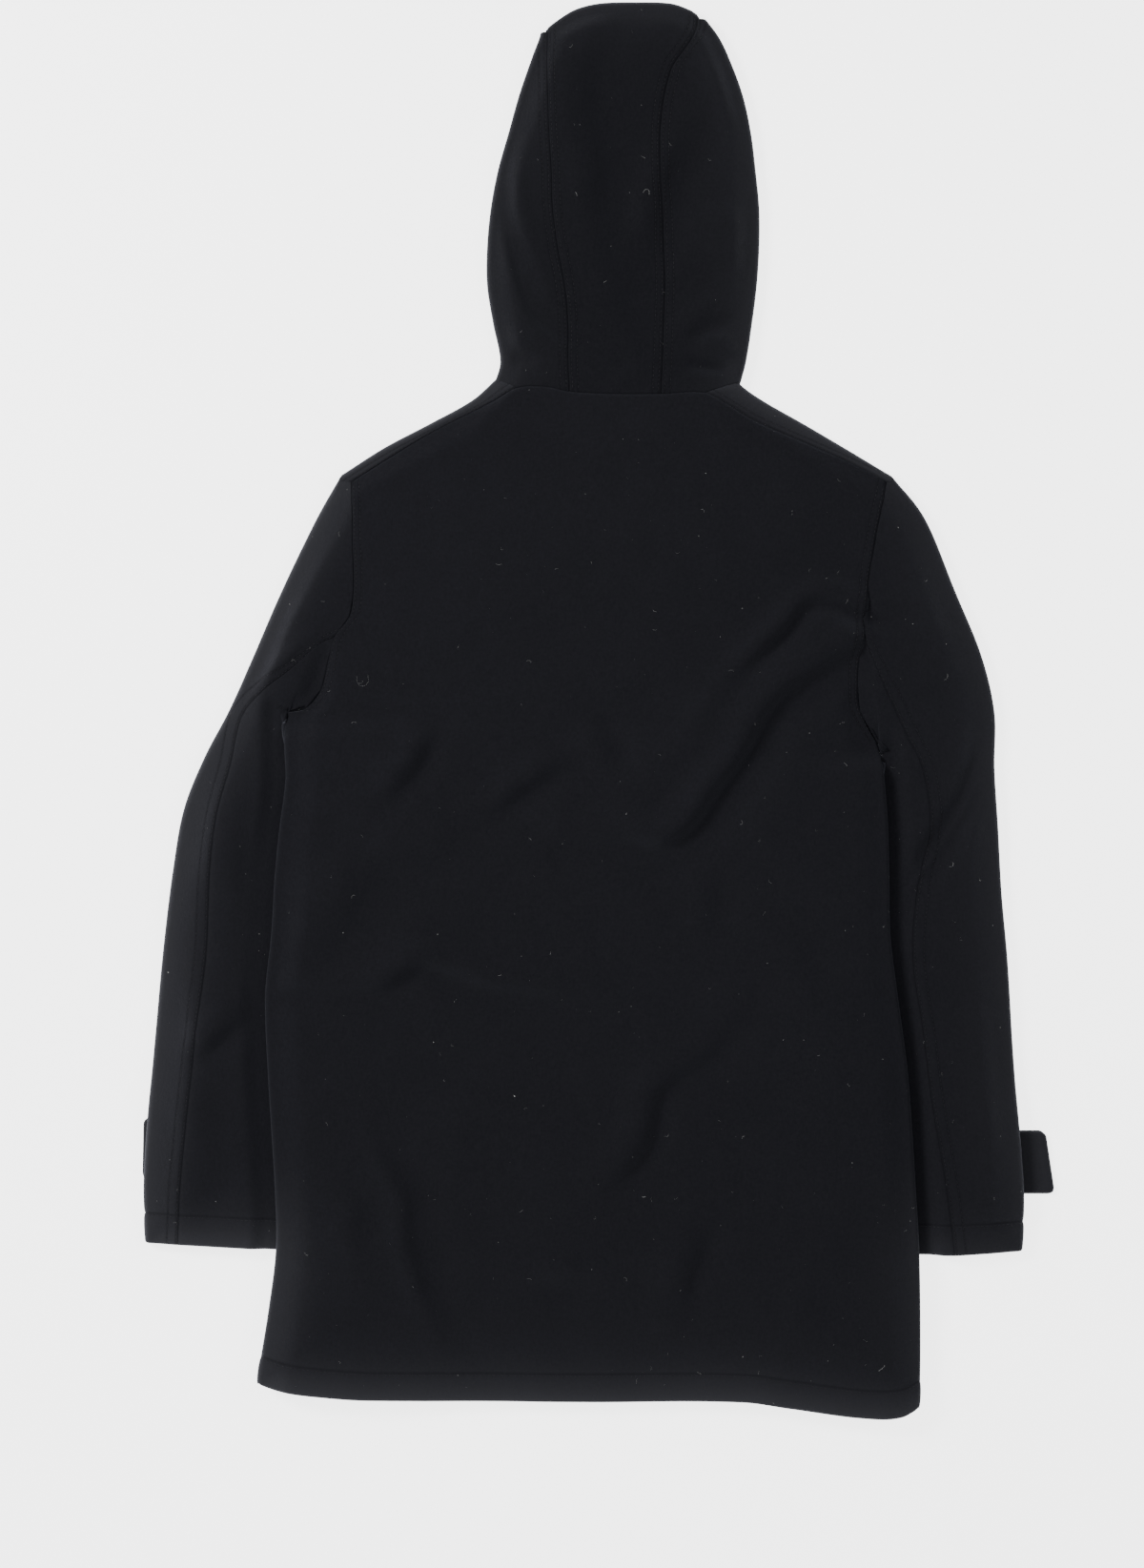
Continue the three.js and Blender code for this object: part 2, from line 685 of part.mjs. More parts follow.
/** Edges, seam and directions of a sleeve's ring. */
function sleeveRing(side, t) {
  const value = Object.fromEntries(
    SLEEVE_COLUMNS.map((name) => [name, curve(SLEEVES[side], "row", name)])
  );
  const point = (name, at) => new THREE.Vector3(value[name + "X"](at), value[name + "Y"](at), 0);
  const seam = point("seam", t);
  const step = 0.2; // rows to each side, from which an edge's direction is taken
  // The fold at the armhole opens toward first, or else straight away from the seam.
  const edgeOf = (name, radius, first, turnIn) => {
    const edge = point(name, t);
    const along = point(name, t + step).sub(point(name, t - step)).normalize();
    const outward = new THREE.Vector3(along.y, -along.x, 0);
    const bodyward = name === "inner" ? INWARD[side] : -INWARD[side];
    if (outward.x * bodyward < 0) outward.negate();
    const start = first ?? edge.clone().sub(seam).normalize();
    outward.lerp(start, 1 - smoothstep(t, 0, turnIn)).normalize();
    const foot = edge.clone().addScaledVector(outward, -radius);
    return { edge, outward, radius, foot };
  };
  return {
    t,
    seam,
    outer: edgeOf("outer", SLEEVE_ROLL, new THREE.Vector3(0, 1, 0), ARMHOLE_BLEND.outerTurn),
    inner: edgeOf("inner", INNER_ROLL, null, ARMHOLE_BLEND.innerTurn),
  };
}

/** Top of a sleeve: level with the folds at its edges, low where the body lies on it. */
function sleeveHeight(side, ring, x, y) {
  const flat = BODY_STACK + foldHeight(x, y);
  const heights = [ring.outer, ring.inner].map(({ edge, radius }) => {
    const inside = Math.hypot(x - edge.x, y - edge.y) - radius;
    return lerp(2 * radius, flat, smoothstep(inside, 0, EDGE_BLEND));
  });
  const open = Math.min(...heights);
  const outside = (sideOf[side](y) - x) * INWARD[side];
  const clear = lerp(SLEEVE_STACK, open, smoothstep(outside, NESTLE, NESTLE + EDGE_BLEND));
  return lerp(open, clear, liftShare(side, y)) + tabLift(side, x, y);
}

/** Knots of a sleeve's wall between its seam and an edge, on top or underneath. */
function sleevePanel(side, ring, edge, startKnots, onTop) {
  const steps = startKnots.length - 1;
  const start = sleeveRing(side, 0);
  const straight = (of, i) => of.seam.clone().lerp(of[edge].foot, i / steps);
  const joined = 1 - smoothstep(ring.t, 0, ARMHOLE_BLEND[edge]);
  const joinedZ = 1 - smoothstep(ring.t, 0, ARMHOLE_BLEND.height);
  return startKnots.map(({ at }, i) => {
    const spot = straight(ring, i).addScaledVector(at.clone().sub(straight(start, i)), joined);
    if (!onTop) return knot(spot.x, spot.y, tabLift(side, spot.x, spot.y), DOWN);
    const z = sleeveHeight(side, ring, spot.x, spot.y);
    const seamZ = at.z - sleeveHeight(side, start, at.x, at.y);
    return knot(spot.x, spot.y, z + seamZ * joinedZ);
  });
}

/** One piece of a sleeve: from the seam underneath, round an edge, to the seam on top. */
function sleeveGrid(side, edge, back) {
  const armhole = armholeSeam(back, side);
  const foot = sleeveRing(side, 0)[edge].foot;
  const { radius } = sleeveRing(side, 0)[edge];
  const turn = knot(foot.x, foot.y, 2 * radius);
  const toShoulder = armhole.slice(0, SEAM_ROW + 1).reverse();
  const toArmpit = armhole.slice(SEAM_ROW);
  const onTop = edge === "outer" ? [...toShoulder, turn] : toArmpit;
  const below = edge === "outer" ? [...toShoulder.slice(0, -1), turn] : toArmpit;
  return RINGS.map((t) => {
    const ring = sleeveRing(side, t);
    const { edge: tip, outward } = ring[edge];
    const base = tabLift(side, tip.x, tip.y);
    const quarter = Math.PI / 2;
    return [
      ...sleevePanel(side, ring, edge, below, false).slice(0, -1),
      ...foldKnots(tip, outward, radius, base, -quarter, quarter, FOLD_STEPS),
      ...sleevePanel(side, ring, edge, onTop, true).slice(0, -1).reverse(),
    ];
  });
}

function tabGeometry(side) {
  const corners = TABS[side];
  const shape = new THREE.Shape();
  shape.moveTo(corners[0].x, corners[0].y);
  [1, 2].forEach((i) => {
    const [before, corner, after] = [corners[i - 1], corners[i], corners[i + 1]]
      .map(({ x, y }) => new THREE.Vector2(x, y));
    const start = corner.clone().add(before.sub(corner).setLength(TAB_CORNER));
    const end = corner.clone().add(after.sub(corner).setLength(TAB_CORNER));
    shape.lineTo(start.x, start.y);
    shape.quadraticCurveTo(corner.x, corner.y, end.x, end.y);
  });
  shape.lineTo(corners[3].x, corners[3].y);
  const options = { depth: TAB_THICKNESS, bevelEnabled: false, curveSegments: 5 };
  return new THREE.ExtrudeGeometry(shape, options);
}

// ---- Hood ---------------------------------------------------------------------------

/** Top of the hood: level with the fold round it, higher inside. */
function hoodHeight(x, y) {
  const flat = BODY_STACK + foldHeight(x, y);
  const inside = Math.min(x - hoodOf.left(y), hoodOf.right(y) - x, crownOf(x) - y) - HOOD_ROLL;
  return lerp(2 * HOOD_ROLL, flat, smoothstep(inside, 0, EDGE_BLEND));
}

/** The back's knots along the neck seam, from the centre strip's seam to the side. */
function neckSeam(back, side) {
  const reach = ROLL_STEPS + SHOULDER_STEPS;
  const knots = side === "left" ? back.at(-1) : [...back.at(-1)].reverse();
  return knots.slice(reach, reach + NECK_STEPS.side + 1).reverse();
}

/** Puts a straight row's knots on the first row's, less and less further up. */
function blendRows(startKnots, straightStart, straight, share, height) {
  return straight.map((spot, i) => {
    const { at } = startKnots[i];
    const own = straightStart[i];
    const x = spot.x + (at.x - own.x) * share;
    const y = spot.y + (at.y - own.y) * share;
    const seamZ = (at.z - height(at.x, at.y)) * share;
    return knot(x, y, height(x, y) + seamZ, startKnots[i].out);
  });
}

/** Where a seam of the centre strip passes a station, from the neck to the crown. */
function hoodSeamPoint(neckKnot, side, v) {
  const crown = side === "left" ? CROWN[0] : CROWN.at(-1);
  const y = lerp(neckKnot.at.y, crown.y - HOOD_ROLL, v);
  return { x: lerp(hoodOf[side + "Seam"](y), crown.x, smoothstep(v, CROWN_TURN, 1)), y };
}

/** A side of the hood: from the strip's seam, round the edge, to the face opening. */
function hoodSideGrid(side, back) {
  const corner = HOOD_CORNERS[side];
  const crown = side === "left" ? CROWN[0] : CROWN.at(-1);
  const outward = new THREE.Vector3(-INWARD[side], 0, 0);
  const seam = neckSeam(back, side);
  const footAt = (edge) => ({ x: edge.x + INWARD[side] * HOOD_ROLL, y: edge.y });
  const edgeAt = (v) => {
    const y = lerp(corner.y, crown.y - HOOD_ROLL, v);
    return { x: v ? hoodOf[side](y) : corner.x, y };
  };
  const faceAt = (v) => {
    const y = edgeAt(v).y;
    const run = smoothstep(y, FACE_TURN.from, FACE_TURN.to);
    return { x: lerp(FACE_EDGE[side], crown.x - INWARD[side] * SEAM_GAP, run), y };
  };
  const spread = (from, to, count) =>
    Array.from({ length: count + 1 }, (_, i) => ({
      x: lerp(from.x, to.x, i / count),
      y: lerp(from.y, to.y, i / count),
    }));
  const topAt = (v) => spread(hoodSeamPoint(seam[0], side, v), footAt(edgeAt(v)), NECK_STEPS.side + 1);
  const underAt = (v) => spread(footAt(edgeAt(v)), faceAt(v), HOOD_UNDER_STEPS);
  const foot = footAt(corner);
  const topStart = [...seam, knot(foot.x, foot.y, 2 * HOOD_ROLL)];
  const underStart = NECKLINES[side].map(({ x, y }) => knot(x, y, 0, DOWN));
  const stations = side === "left" ? HOOD_STATIONS.slice(0, -1) : HOOD_STATIONS;
  const quarter = Math.PI / 2;
  return stations.map((v) => {
    const [topShare, underShare] = [HOOD_BLEND.top, HOOD_BLEND.under]
      .map((until) => 1 - smoothstep(v, 0, until));
    const top = blendRows(topStart, topAt(0), topAt(v), topShare, hoodHeight);
    const under = blendRows(underStart, underAt(0), underAt(v), underShare, () => 0);
    return [
      ...top.slice(0, -1),
      ...foldKnots(edgeAt(v), outward, HOOD_ROLL, 0, quarter, -quarter, FOLD_STEPS),
      ...under.slice(1),
    ];
  });
}

/** The hood's centre strip: up the top, over the crown, a short way back underneath. */
function hoodCentreGrid(back) {
  const first = ROLL_STEPS + SHOULDER_STEPS + NECK_STEPS.side;
  const start = back.at(-1).slice(first, first + NECK_STEPS.centre + 1);
  const outward = new THREE.Vector3(0, 1, 0);
  const quarter = Math.PI / 2;
  const columns = start.map((neckKnot, i) => {
    const share = i / NECK_STEPS.centre;
    const crownX = lerp(CROWN[0].x, CROWN.at(-1).x, share);
    const crown = { x: crownX, y: crownOf(crownX) };
    const ownZ = hoodHeight(neckKnot.at.x, neckKnot.at.y);
    const climb = HOOD_STATIONS.slice(0, -1).map((v) => {
      const left = hoodSeamPoint(start[0], "left", v);
      const right = hoodSeamPoint(start.at(-1), "right", v);
      const x = lerp(left.x, right.x, share);
      const y = lerp(neckKnot.at.y, crown.y - HOOD_ROLL, v);
      const seamZ = (neckKnot.at.z - ownZ) * (1 - smoothstep(v, 0, HOOD_BLEND.top));
      return knot(x, y, hoodHeight(x, y) + seamZ);
    });
    const over = foldKnots(crown, outward, HOOD_ROLL, 0, quarter, -quarter, FOLD_STEPS);
    const under = Array.from({ length: WRAP_STEPS }, (_, j) =>
      knot(crownX, crown.y - lerp(HOOD_ROLL, HOOD_WRAP, (j + 1) / WRAP_STEPS), 0, DOWN)
    );
    return [...climb, ...over, ...under];
  });
  return columns[0].map((_, row) => columns.map((column) => column[row]));
}

// ---- The coat -----------------------------------------------------------------------

const CLOTH = { color: 0x1b1b20, roughness: 0.95, metalness: 0 };

function piece(name, geometry) {
  const mesh = new THREE.Mesh(geometry, new THREE.MeshStandardMaterial(CLOTH));
  mesh.name = name;
  return mesh;
}

const coat = new THREE.Group();
const back = backGrid();
coat.add(piece("back", wall(trimmed(back, ["start", "end", "last"]))));
for (const side of SIDES) {
  const front = wall(trimmed(frontGrid(side, back), ["start", "last"]));
  coat.add(piece(`front_${side}`, cutAway(front, neckCut())));
  const topSleeve = trimmed(sleeveGrid(side, "outer", back), ["first", "start", "end"]);
  coat.add(piece(`sleeve_${side}_top`, wall(topSleeve)));
  const underSleeve = trimmed(sleeveGrid(side, "inner", back), ["first", "start", "end"]);
  coat.add(piece(`sleeve_${side}_under`, wall(underSleeve)));
  coat.add(piece(`hood_${side}`, wall(trimmed(hoodSideGrid(side, back), ["first", "start"]))));
  coat.add(piece(`cuff_tab_${side}`, tabGeometry(side)));
}
coat.add(piece("hood_centre", wall(trimmed(hoodCentreGrid(back), ["first", "start", "end"]))));

// The origin is on the floor under the middle of the laid coat.
const middle = new THREE.Box3().setFromObject(coat).getCenter(new THREE.Vector3());
coat.position.set(-middle.x, -middle.y, 0);

export default coat;
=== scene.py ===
"""Hooded wool coat, laid out face down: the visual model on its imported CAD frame."""
import logging
import math
from collections.abc import Callable, Sequence
from dataclasses import dataclass, field
from enum import Enum

import bmesh
import bpy
import numpy as np
from mathutils import Matrix, Vector


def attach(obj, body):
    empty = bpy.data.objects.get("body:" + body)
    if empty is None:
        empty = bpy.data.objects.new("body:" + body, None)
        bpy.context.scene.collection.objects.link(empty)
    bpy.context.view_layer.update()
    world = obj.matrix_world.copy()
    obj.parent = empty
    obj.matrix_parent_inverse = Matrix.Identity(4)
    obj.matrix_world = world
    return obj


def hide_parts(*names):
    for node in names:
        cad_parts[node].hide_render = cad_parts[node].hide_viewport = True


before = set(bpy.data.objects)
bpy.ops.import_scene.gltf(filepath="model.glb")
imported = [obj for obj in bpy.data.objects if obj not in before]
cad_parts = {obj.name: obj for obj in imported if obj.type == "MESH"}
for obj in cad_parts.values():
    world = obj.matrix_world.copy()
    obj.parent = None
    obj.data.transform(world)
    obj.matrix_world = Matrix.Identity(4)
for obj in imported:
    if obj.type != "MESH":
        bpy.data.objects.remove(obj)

Array = np.ndarray
Curve = Callable[[Array], Array]

logging.basicConfig(level=logging.INFO, format="%(name)s: %(message)s")
LOG = logging.getLogger("coat")

MM = 0.001
ORIGIN = np.array([0.849, 1.119, 0.0])  # from the tables' origin to the frame's
UP = np.array([0.0, 0.0, 1.0])
DOWN = -UP


class Side(Enum):
    """Side of the coat, as it lies, with the direction along X toward its middle."""

    LEFT = ("left", 1)
    RIGHT = ("right", -1)

    @property
    def word(self) -> str:
        """The side's name in tables and pieces."""
        return self.value[0]

    @property
    def inward(self) -> int:
        """Sign of X toward the middle."""
        return self.value[1]


# ---- Curves ---------------------------------------------------------------------------


def smoothstep(value: Array, low: float, high: float) -> Array:
    """Rises softly from 0 at low to 1 at high."""
    share = np.clip((np.asarray(value, float) - low) / (high - low), 0.0, 1.0)
    return share * share * (3 - 2 * share)


def lerp(start: Array, end: Array, share: Array) -> Array:
    """The value a share of the way from start to end."""
    return start + (end - start) * share


def spread(parts: Sequence[tuple[float, float, int]]) -> Array:
    """Numbers that run through several stretches.

    Args:
        parts: start, end and number of steps of each stretch.

    Returns:
        One rising list, without the repeats where stretches meet.
    """
    runs = [np.linspace(a, b, n + 1)[1:] for a, b, n in parts]
    return np.concatenate([[parts[0][0]], *runs])


class Table:
    """Rows of sizes in millimetres under named columns."""

    def __init__(self, columns: str, rows: Sequence[Sequence[float]]) -> None:
        """Names the columns and numbers the rows in a column of their own."""
        self.names = columns.split()
        self.data = {name: np.array([row[i] for row in rows], float)
                     for i, name in enumerate(self.names)}
        self.data["row"] = np.arange(len(rows), dtype=float)

    def __getitem__(self, name: str) -> Array:
        """A column."""
        return self.data[name]

    def curve(self, start: str, end: str) -> Curve:
        """A smooth function from one column, which rises or falls, to another."""
        order = np.argsort(self.data[start])
        xs, ys = self.data[start][order], self.data[end][order]
        slopes = np.empty(len(xs))
        slopes[1:-1] = (ys[2:] - ys[:-2]) / (xs[2:] - xs[:-2])
        slopes[0] = (ys[1] - ys[0]) / (xs[1] - xs[0])
        slopes[-1] = (ys[-1] - ys[-2]) / (xs[-1] - xs[-2])

        def value(at: Array) -> Array:
            """The curve at some places, held level beyond its ends."""
            at = np.clip(np.asarray(at, float), xs[0], xs[-1])
            i = np.clip(np.searchsorted(xs, at) - 1, 0, len(xs) - 2)
            span = xs[i + 1] - xs[i]
            s = (at - xs[i]) / span
            bend = s * (1 - s) * span * ((1 - s) * slopes[i] - s * slopes[i + 1])
            return lerp(ys[i], ys[i + 1], s * s * (3 - 2 * s)) + bend

        return value


# ---- Tables, in millimetres -------------------------------------------------------------

BODY_SIDES = Table("y left right", (
    (-590, -289, 267), (-550, -284, 268), (-500, -276, 268), (-450, -270, 267), (-400, -271, 264),
    (-350, -274, 261), (-300, -277, 257), (-240, -279, 249), (-190, -274, 243), (-140, -271, 242),
    (-100, -267, 241), (-60, -262, 238), (-34, -263, 235), (-4, -263, 230),
))
HEM = Table("x y", (
    (-289, -563), (-271, -569), (-240, -574), (-190, -578), (0, -580), (120, -580), (160, -585),
    (215, -592), (252, -592), (268, -584),
))
# Top edge of the back: shoulder seam, neck seam, shoulder seam
BACK_TOP = Table("x y", (
    (-207, 189), (-142, 229), (-87, 257), (-69, 267), (-45, 268), (-25, 264), (13, 262),
    (52, 262), (88, 263), (106, 254), (129, 240), (175, 220), (207, 206), (240, 189),
))
# Fold along the shoulders, carried on across the foot of the hood
SHOULDER_FOLD = Table("x y", (
    (-216, 195), (-180, 218), (-142, 238), (-106, 258), (-88, 274), (-60, 300), (90, 300),
    (118, 271), (136, 258), (171, 238), (205, 218), (245, 194),
))
# Armholes, shoulder first
ARMHOLES = {
    Side.LEFT: Table("x y", (
        (-207, 189), (-206, 166), (-206, 142), (-205, 118), (-205, 97), (-208, 77), (-221, 59),
        (-226, 40), (-232, 16), (-245, 0), (-263, -4),
    )),
    Side.RIGHT: Table("x y", (
        (240, 189), (236, 170), (231, 145), (227, 122), (224, 100), (222, 80), (221, 59),
        (217, 40), (216, 20), (218, -2), (235, -34),
    )),
}
# Sleeves from armhole to cuff: outer edge, back seam, inner edge under the body
SLEEVES = {
    Side.LEFT: Table("outerX outerY seamX seamY innerX innerY", (
        (-216, 195, -221, 59, -265.1, -7.2), (-237, 158, -235, 52, -263, -13),
        (-266, 98, -258, 32, -259, -24), (-292, 38, -281, 14, -254, -42),
        (-310, -2, -299, -8, -248, -70), (-331, -42, -308, -48, -240, -100),
        (-348, -85, -319, -90, -224, -138), (-357, -135, -325, -142, -212, -185),
        (-365, -200, -328, -206, -206, -240), (-371, -265, -336, -271, -208, -296),
        (-377, -333, -343, -338, -215, -350), (-381, -396, -349, -399, -227, -405),
        (-380, -448, -352, -449, -242, -456),
    )),
    Side.RIGHT: Table("outerX outerY seamX seamY innerX innerY", (
        (245, 194, 221, 59, 235.6, -37.8), (273, 158, 227, 44, 235, -43),
        (298, 98, 236, 22, 233, -51), (320, 44, 246, 0, 230, -62), (331, -4, 257, -24, 224, -86),
        (331, -50, 270, -52, 212, -128), (334, -100, 276, -98, 195, -170),
        (337, -155, 266, -152, 187, -212), (342, -212, 262, -206, 183, -262),
        (346, -280, 271, -272, 184, -316), (350, -336, 279, -336, 190, -360),
        (355, -404, 290, -402, 202, -412), (354, -455, 297, -458, 214, -458),
    )),
}
# Hood from neck to crown: silhouette and the two seams of the centre strip
HOOD = Table("y left leftSeam rightSeam right", (
    (271, -88, -25, 52, 118), (290, -83, -26, 53, 123), (322, -89, -26, 54, 128),
    (354, -94, -29, 55, 132), (386, -94, -35, 54, 134), (418, -91, -39, 53, 134),
    (450, -85, -40, 51, 131), (482, -76, -42, 51, 127), (514, -67, -43, 55, 120),
    (546, -56, -44, 64, 108), (562, -50, -45, 70, 100), (578, -46, -43, 79, 88),
))
CROWN = Table("x y", (
    (-43, 570), (-32, 578), (-20, 585), (0, 590), (32, 591), (60, 590), (75, 585), (82, 581),
))
# Neckline of the fronts, under the hood
NECKLINES = {
    Side.LEFT: Table("x y", (
        (-83, 272), (-64, 228), (-45, 212), (-25, 205), (-6, 203),
    )),
    Side.RIGHT: Table("x y", (
        (113, 271), (91, 231), (69, 214), (46, 206), (24, 203),
    )),
}
# Closing edges of the fronts
FLY = {
    Side.LEFT: Table("x z", (
        (-40, 0), (0, 0), (35, 0),
    )),
    Side.RIGHT: Table("x z", (
        (70, 0), (53, 1.7), (37, 3.3), (6, 3.3), (-25, 3.3),
    )),
}
# Cuff tabs: corners of the strap, hidden end first
TABS = {
    Side.LEFT: Table("x y", ((-355, -343), (-382, -343), (-383, -395), (-355, -395))),
    Side.RIGHT: Table("x y", ((326, -354), (374, -354), (382, -407), (326, -407))),
}

# ---- Heights of the laid cloth ----------------------------------------------------------

WALL = 2.6  # thickness of the cloth
BODY_STACK = 9.9  # top of the back above what the body lies on
SLEEVE_STACK = 7.6  # top of a sleeve where the body lies on it
LAYER_GAP = 0.8  # air between the sleeve and the body on it
NESTLE = 8.0  # how far outside the body the sleeve is still as low as beneath it
NESTLE_RAMP = 15.0  # further stretch over which it rises to its own height
SIDE_ROLL = 4.2  # radii of the folds along the pieces' edges
SHOULDER_ROLL = 4.8
SLEEVE_ROLL = 5.0
INNER_ROLL = SLEEVE_STACK / 2
HOOD_ROLL = 5.0
EDGE_BLEND = 26.0  # width over which a panel sinks to the fold at its edge
HOOD_BLEND = 18.0  # the same on the hood
LIFT_LENGTH = 24.0  # stretch below the armpit over which the body climbs the sleeve
LIFT_MARGIN = 20.0  # how far past the sleeve's edge the body keeps its lift
LIFT_RAMP = 40.0  # width over which the lift runs out
BACK_RAMP = 190.0  # the same on the back, where it is a long slope
ARMPIT_ROW = 10  # rows of the armholes' tables
SEAM_ROW = 6  # where the sleeve's seam meets

side_of = {side: BODY_SIDES.curve("y", side.word) for side in Side}
inner_of = {side: SLEEVES[side].curve("innerY", "innerX") for side in Side}
hood_of = {name: HOOD.curve("y", name) for name in HOOD.names[1:]}
hem_of = HEM.curve("x", "y")
back_top_of = BACK_TOP.curve("x", "y")
shoulder_fold_of = SHOULDER_FOLD.curve("x", "y")
crown_of = CROWN.curve("x", "y")
armpit_y = {side: float(ARMHOLES[side]["y"][ARMPIT_ROW]) for side in Side}


def rounded(spots: Array, steps: int = 4) -> Array:
    """A smooth line through the points of a fold."""
    ends = np.vstack([2 * spots[0] - spots[1], spots, 2 * spots[-1] - spots[-2]])
    t = (np.arange(steps) / steps)[:, None]
    runs = []
    for a, b, c, d in zip(ends, ends[1:], ends[2:], ends[3:]):
        curve = 2 * b + (c - a) * t + (2 * a - 5 * b + 4 * c - d) * t ** 2
        runs.append((curve + (3 * b - a - 3 * c + d) * t ** 3) / 2)
    return np.vstack([*runs, spots[-1:]])


@dataclass(frozen=True)
class Fold:
    """A ridge or trough along a line of points, softer on one side than on the other.

    The left width is on the left of one who walks from the first point to the last.
    """

    points: tuple[tuple[float, float], ...]
    height: float
    left: float
    right: float
    start: float = 0.25  # share of the height at the first point
    end: float = 0.25  # and at the last

    def course(self, x: Array, y: Array) -> tuple[Array, Array, Array]:
        """Where each place is beside the line.

        Args:
            x: of the places.
            y: of the places.

        Returns:
            The distance across, more than 0 on the left, the distance past an end, and the share
            of the height.
        """
        spots = rounded(np.array(self.points, float))
        steps = np.diff(spots, axis=0)
        lengths = np.hypot(steps[:, 0], steps[:, 1])
        walked = np.concatenate([[0.0], np.cumsum(lengths)])
        best = np.full(np.shape(x), 1e9)
        across, past, run = (np.zeros(np.shape(x)) for _ in range(3))
        for i, ((dx, dy), length) in enumerate(zip(steps, lengths)):
            px, py = x - spots[i, 0], y - spots[i, 1]
            share = (px * dx + py * dy) / length ** 2
            s = np.clip(share, 0.0, 1.0)
            side = (dx * py - dy * px) / length
            away = np.hypot(px - s * dx, py - s * dy)
            beyond = (share < 0) if i == 0 else (share > 1) & (i == len(steps) - 1)
            nearer = away < best
            best = np.where(nearer, away, best)
            across = np.where(nearer, np.where(beyond, side, away * np.sign(side)), across)
            past = np.where(nearer, np.where(beyond, np.abs(share - s) * length, 0), past)
            run = np.where(nearer, walked[i] + s * length, run)
        share = run / walked[-1]
        fade = lerp(self.start, 1.0, smoothstep(share, 0.0, 0.35))
        return across, past, fade * lerp(1.0, self.end, smoothstep(share, 0.65, 1.0))

    def rise(self, x: Array, y: Array) -> Array:
        """Height that the fold adds at each place."""
        across, past, fade = self.course(x, y)
        width = lerp(self.right, self.left, smoothstep(across, -3.0, 3.0))
        return self.height * fade * np.exp(-((np.hypot(across, past) / width) ** 2))


@dataclass(frozen=True)
class Crease(Fold):
    """A line over which the cloth drops from a ridge on the left to a trough on the right."""

    def rise(self, x: Array, y: Array) -> Array:
        """Height that the crease adds at each place."""
        across, past, fade = self.course(x, y)
        width = lerp(self.right, self.left, smoothstep(across, -1.0, 1.0))
        away = across / width
        die = np.exp(0.5 - 0.5 * away ** 2 - (past / width) ** 2)
        return self.height * fade * away * die


class Ripple:
    """Soft irregular waves, the same at every run."""

    def __init__(self, seed: int, pitch: float, size: float) -> None:
        """Fills a lattice of the given pitch with random heights up to the given size."""
        self.pitch = pitch
        self.lattice = np.random.default_rng(seed).uniform(-size, size, (256, 256))

    def rise(self, x: Array, y: Array) -> Array:
        """Height that the waves add at each place."""
        u, v = np.asarray(x) / self.pitch + 101.3, np.asarray(y) / self.pitch + 97.7
        i, j = np.floor(u).astype(int), np.floor(v).astype(int)
        s, t = u - i, v - j
        s, t = s * s * s * (s * (6 * s - 15) + 10), t * t * t * (t * (6 * t - 15) + 10)
        at = lambda a, b: self.lattice[(i + a) % 256, (j + b) % 256]
        return lerp(lerp(at(0, 0), at(1, 0), s), lerp(at(0, 1), at(1, 1), s), t)


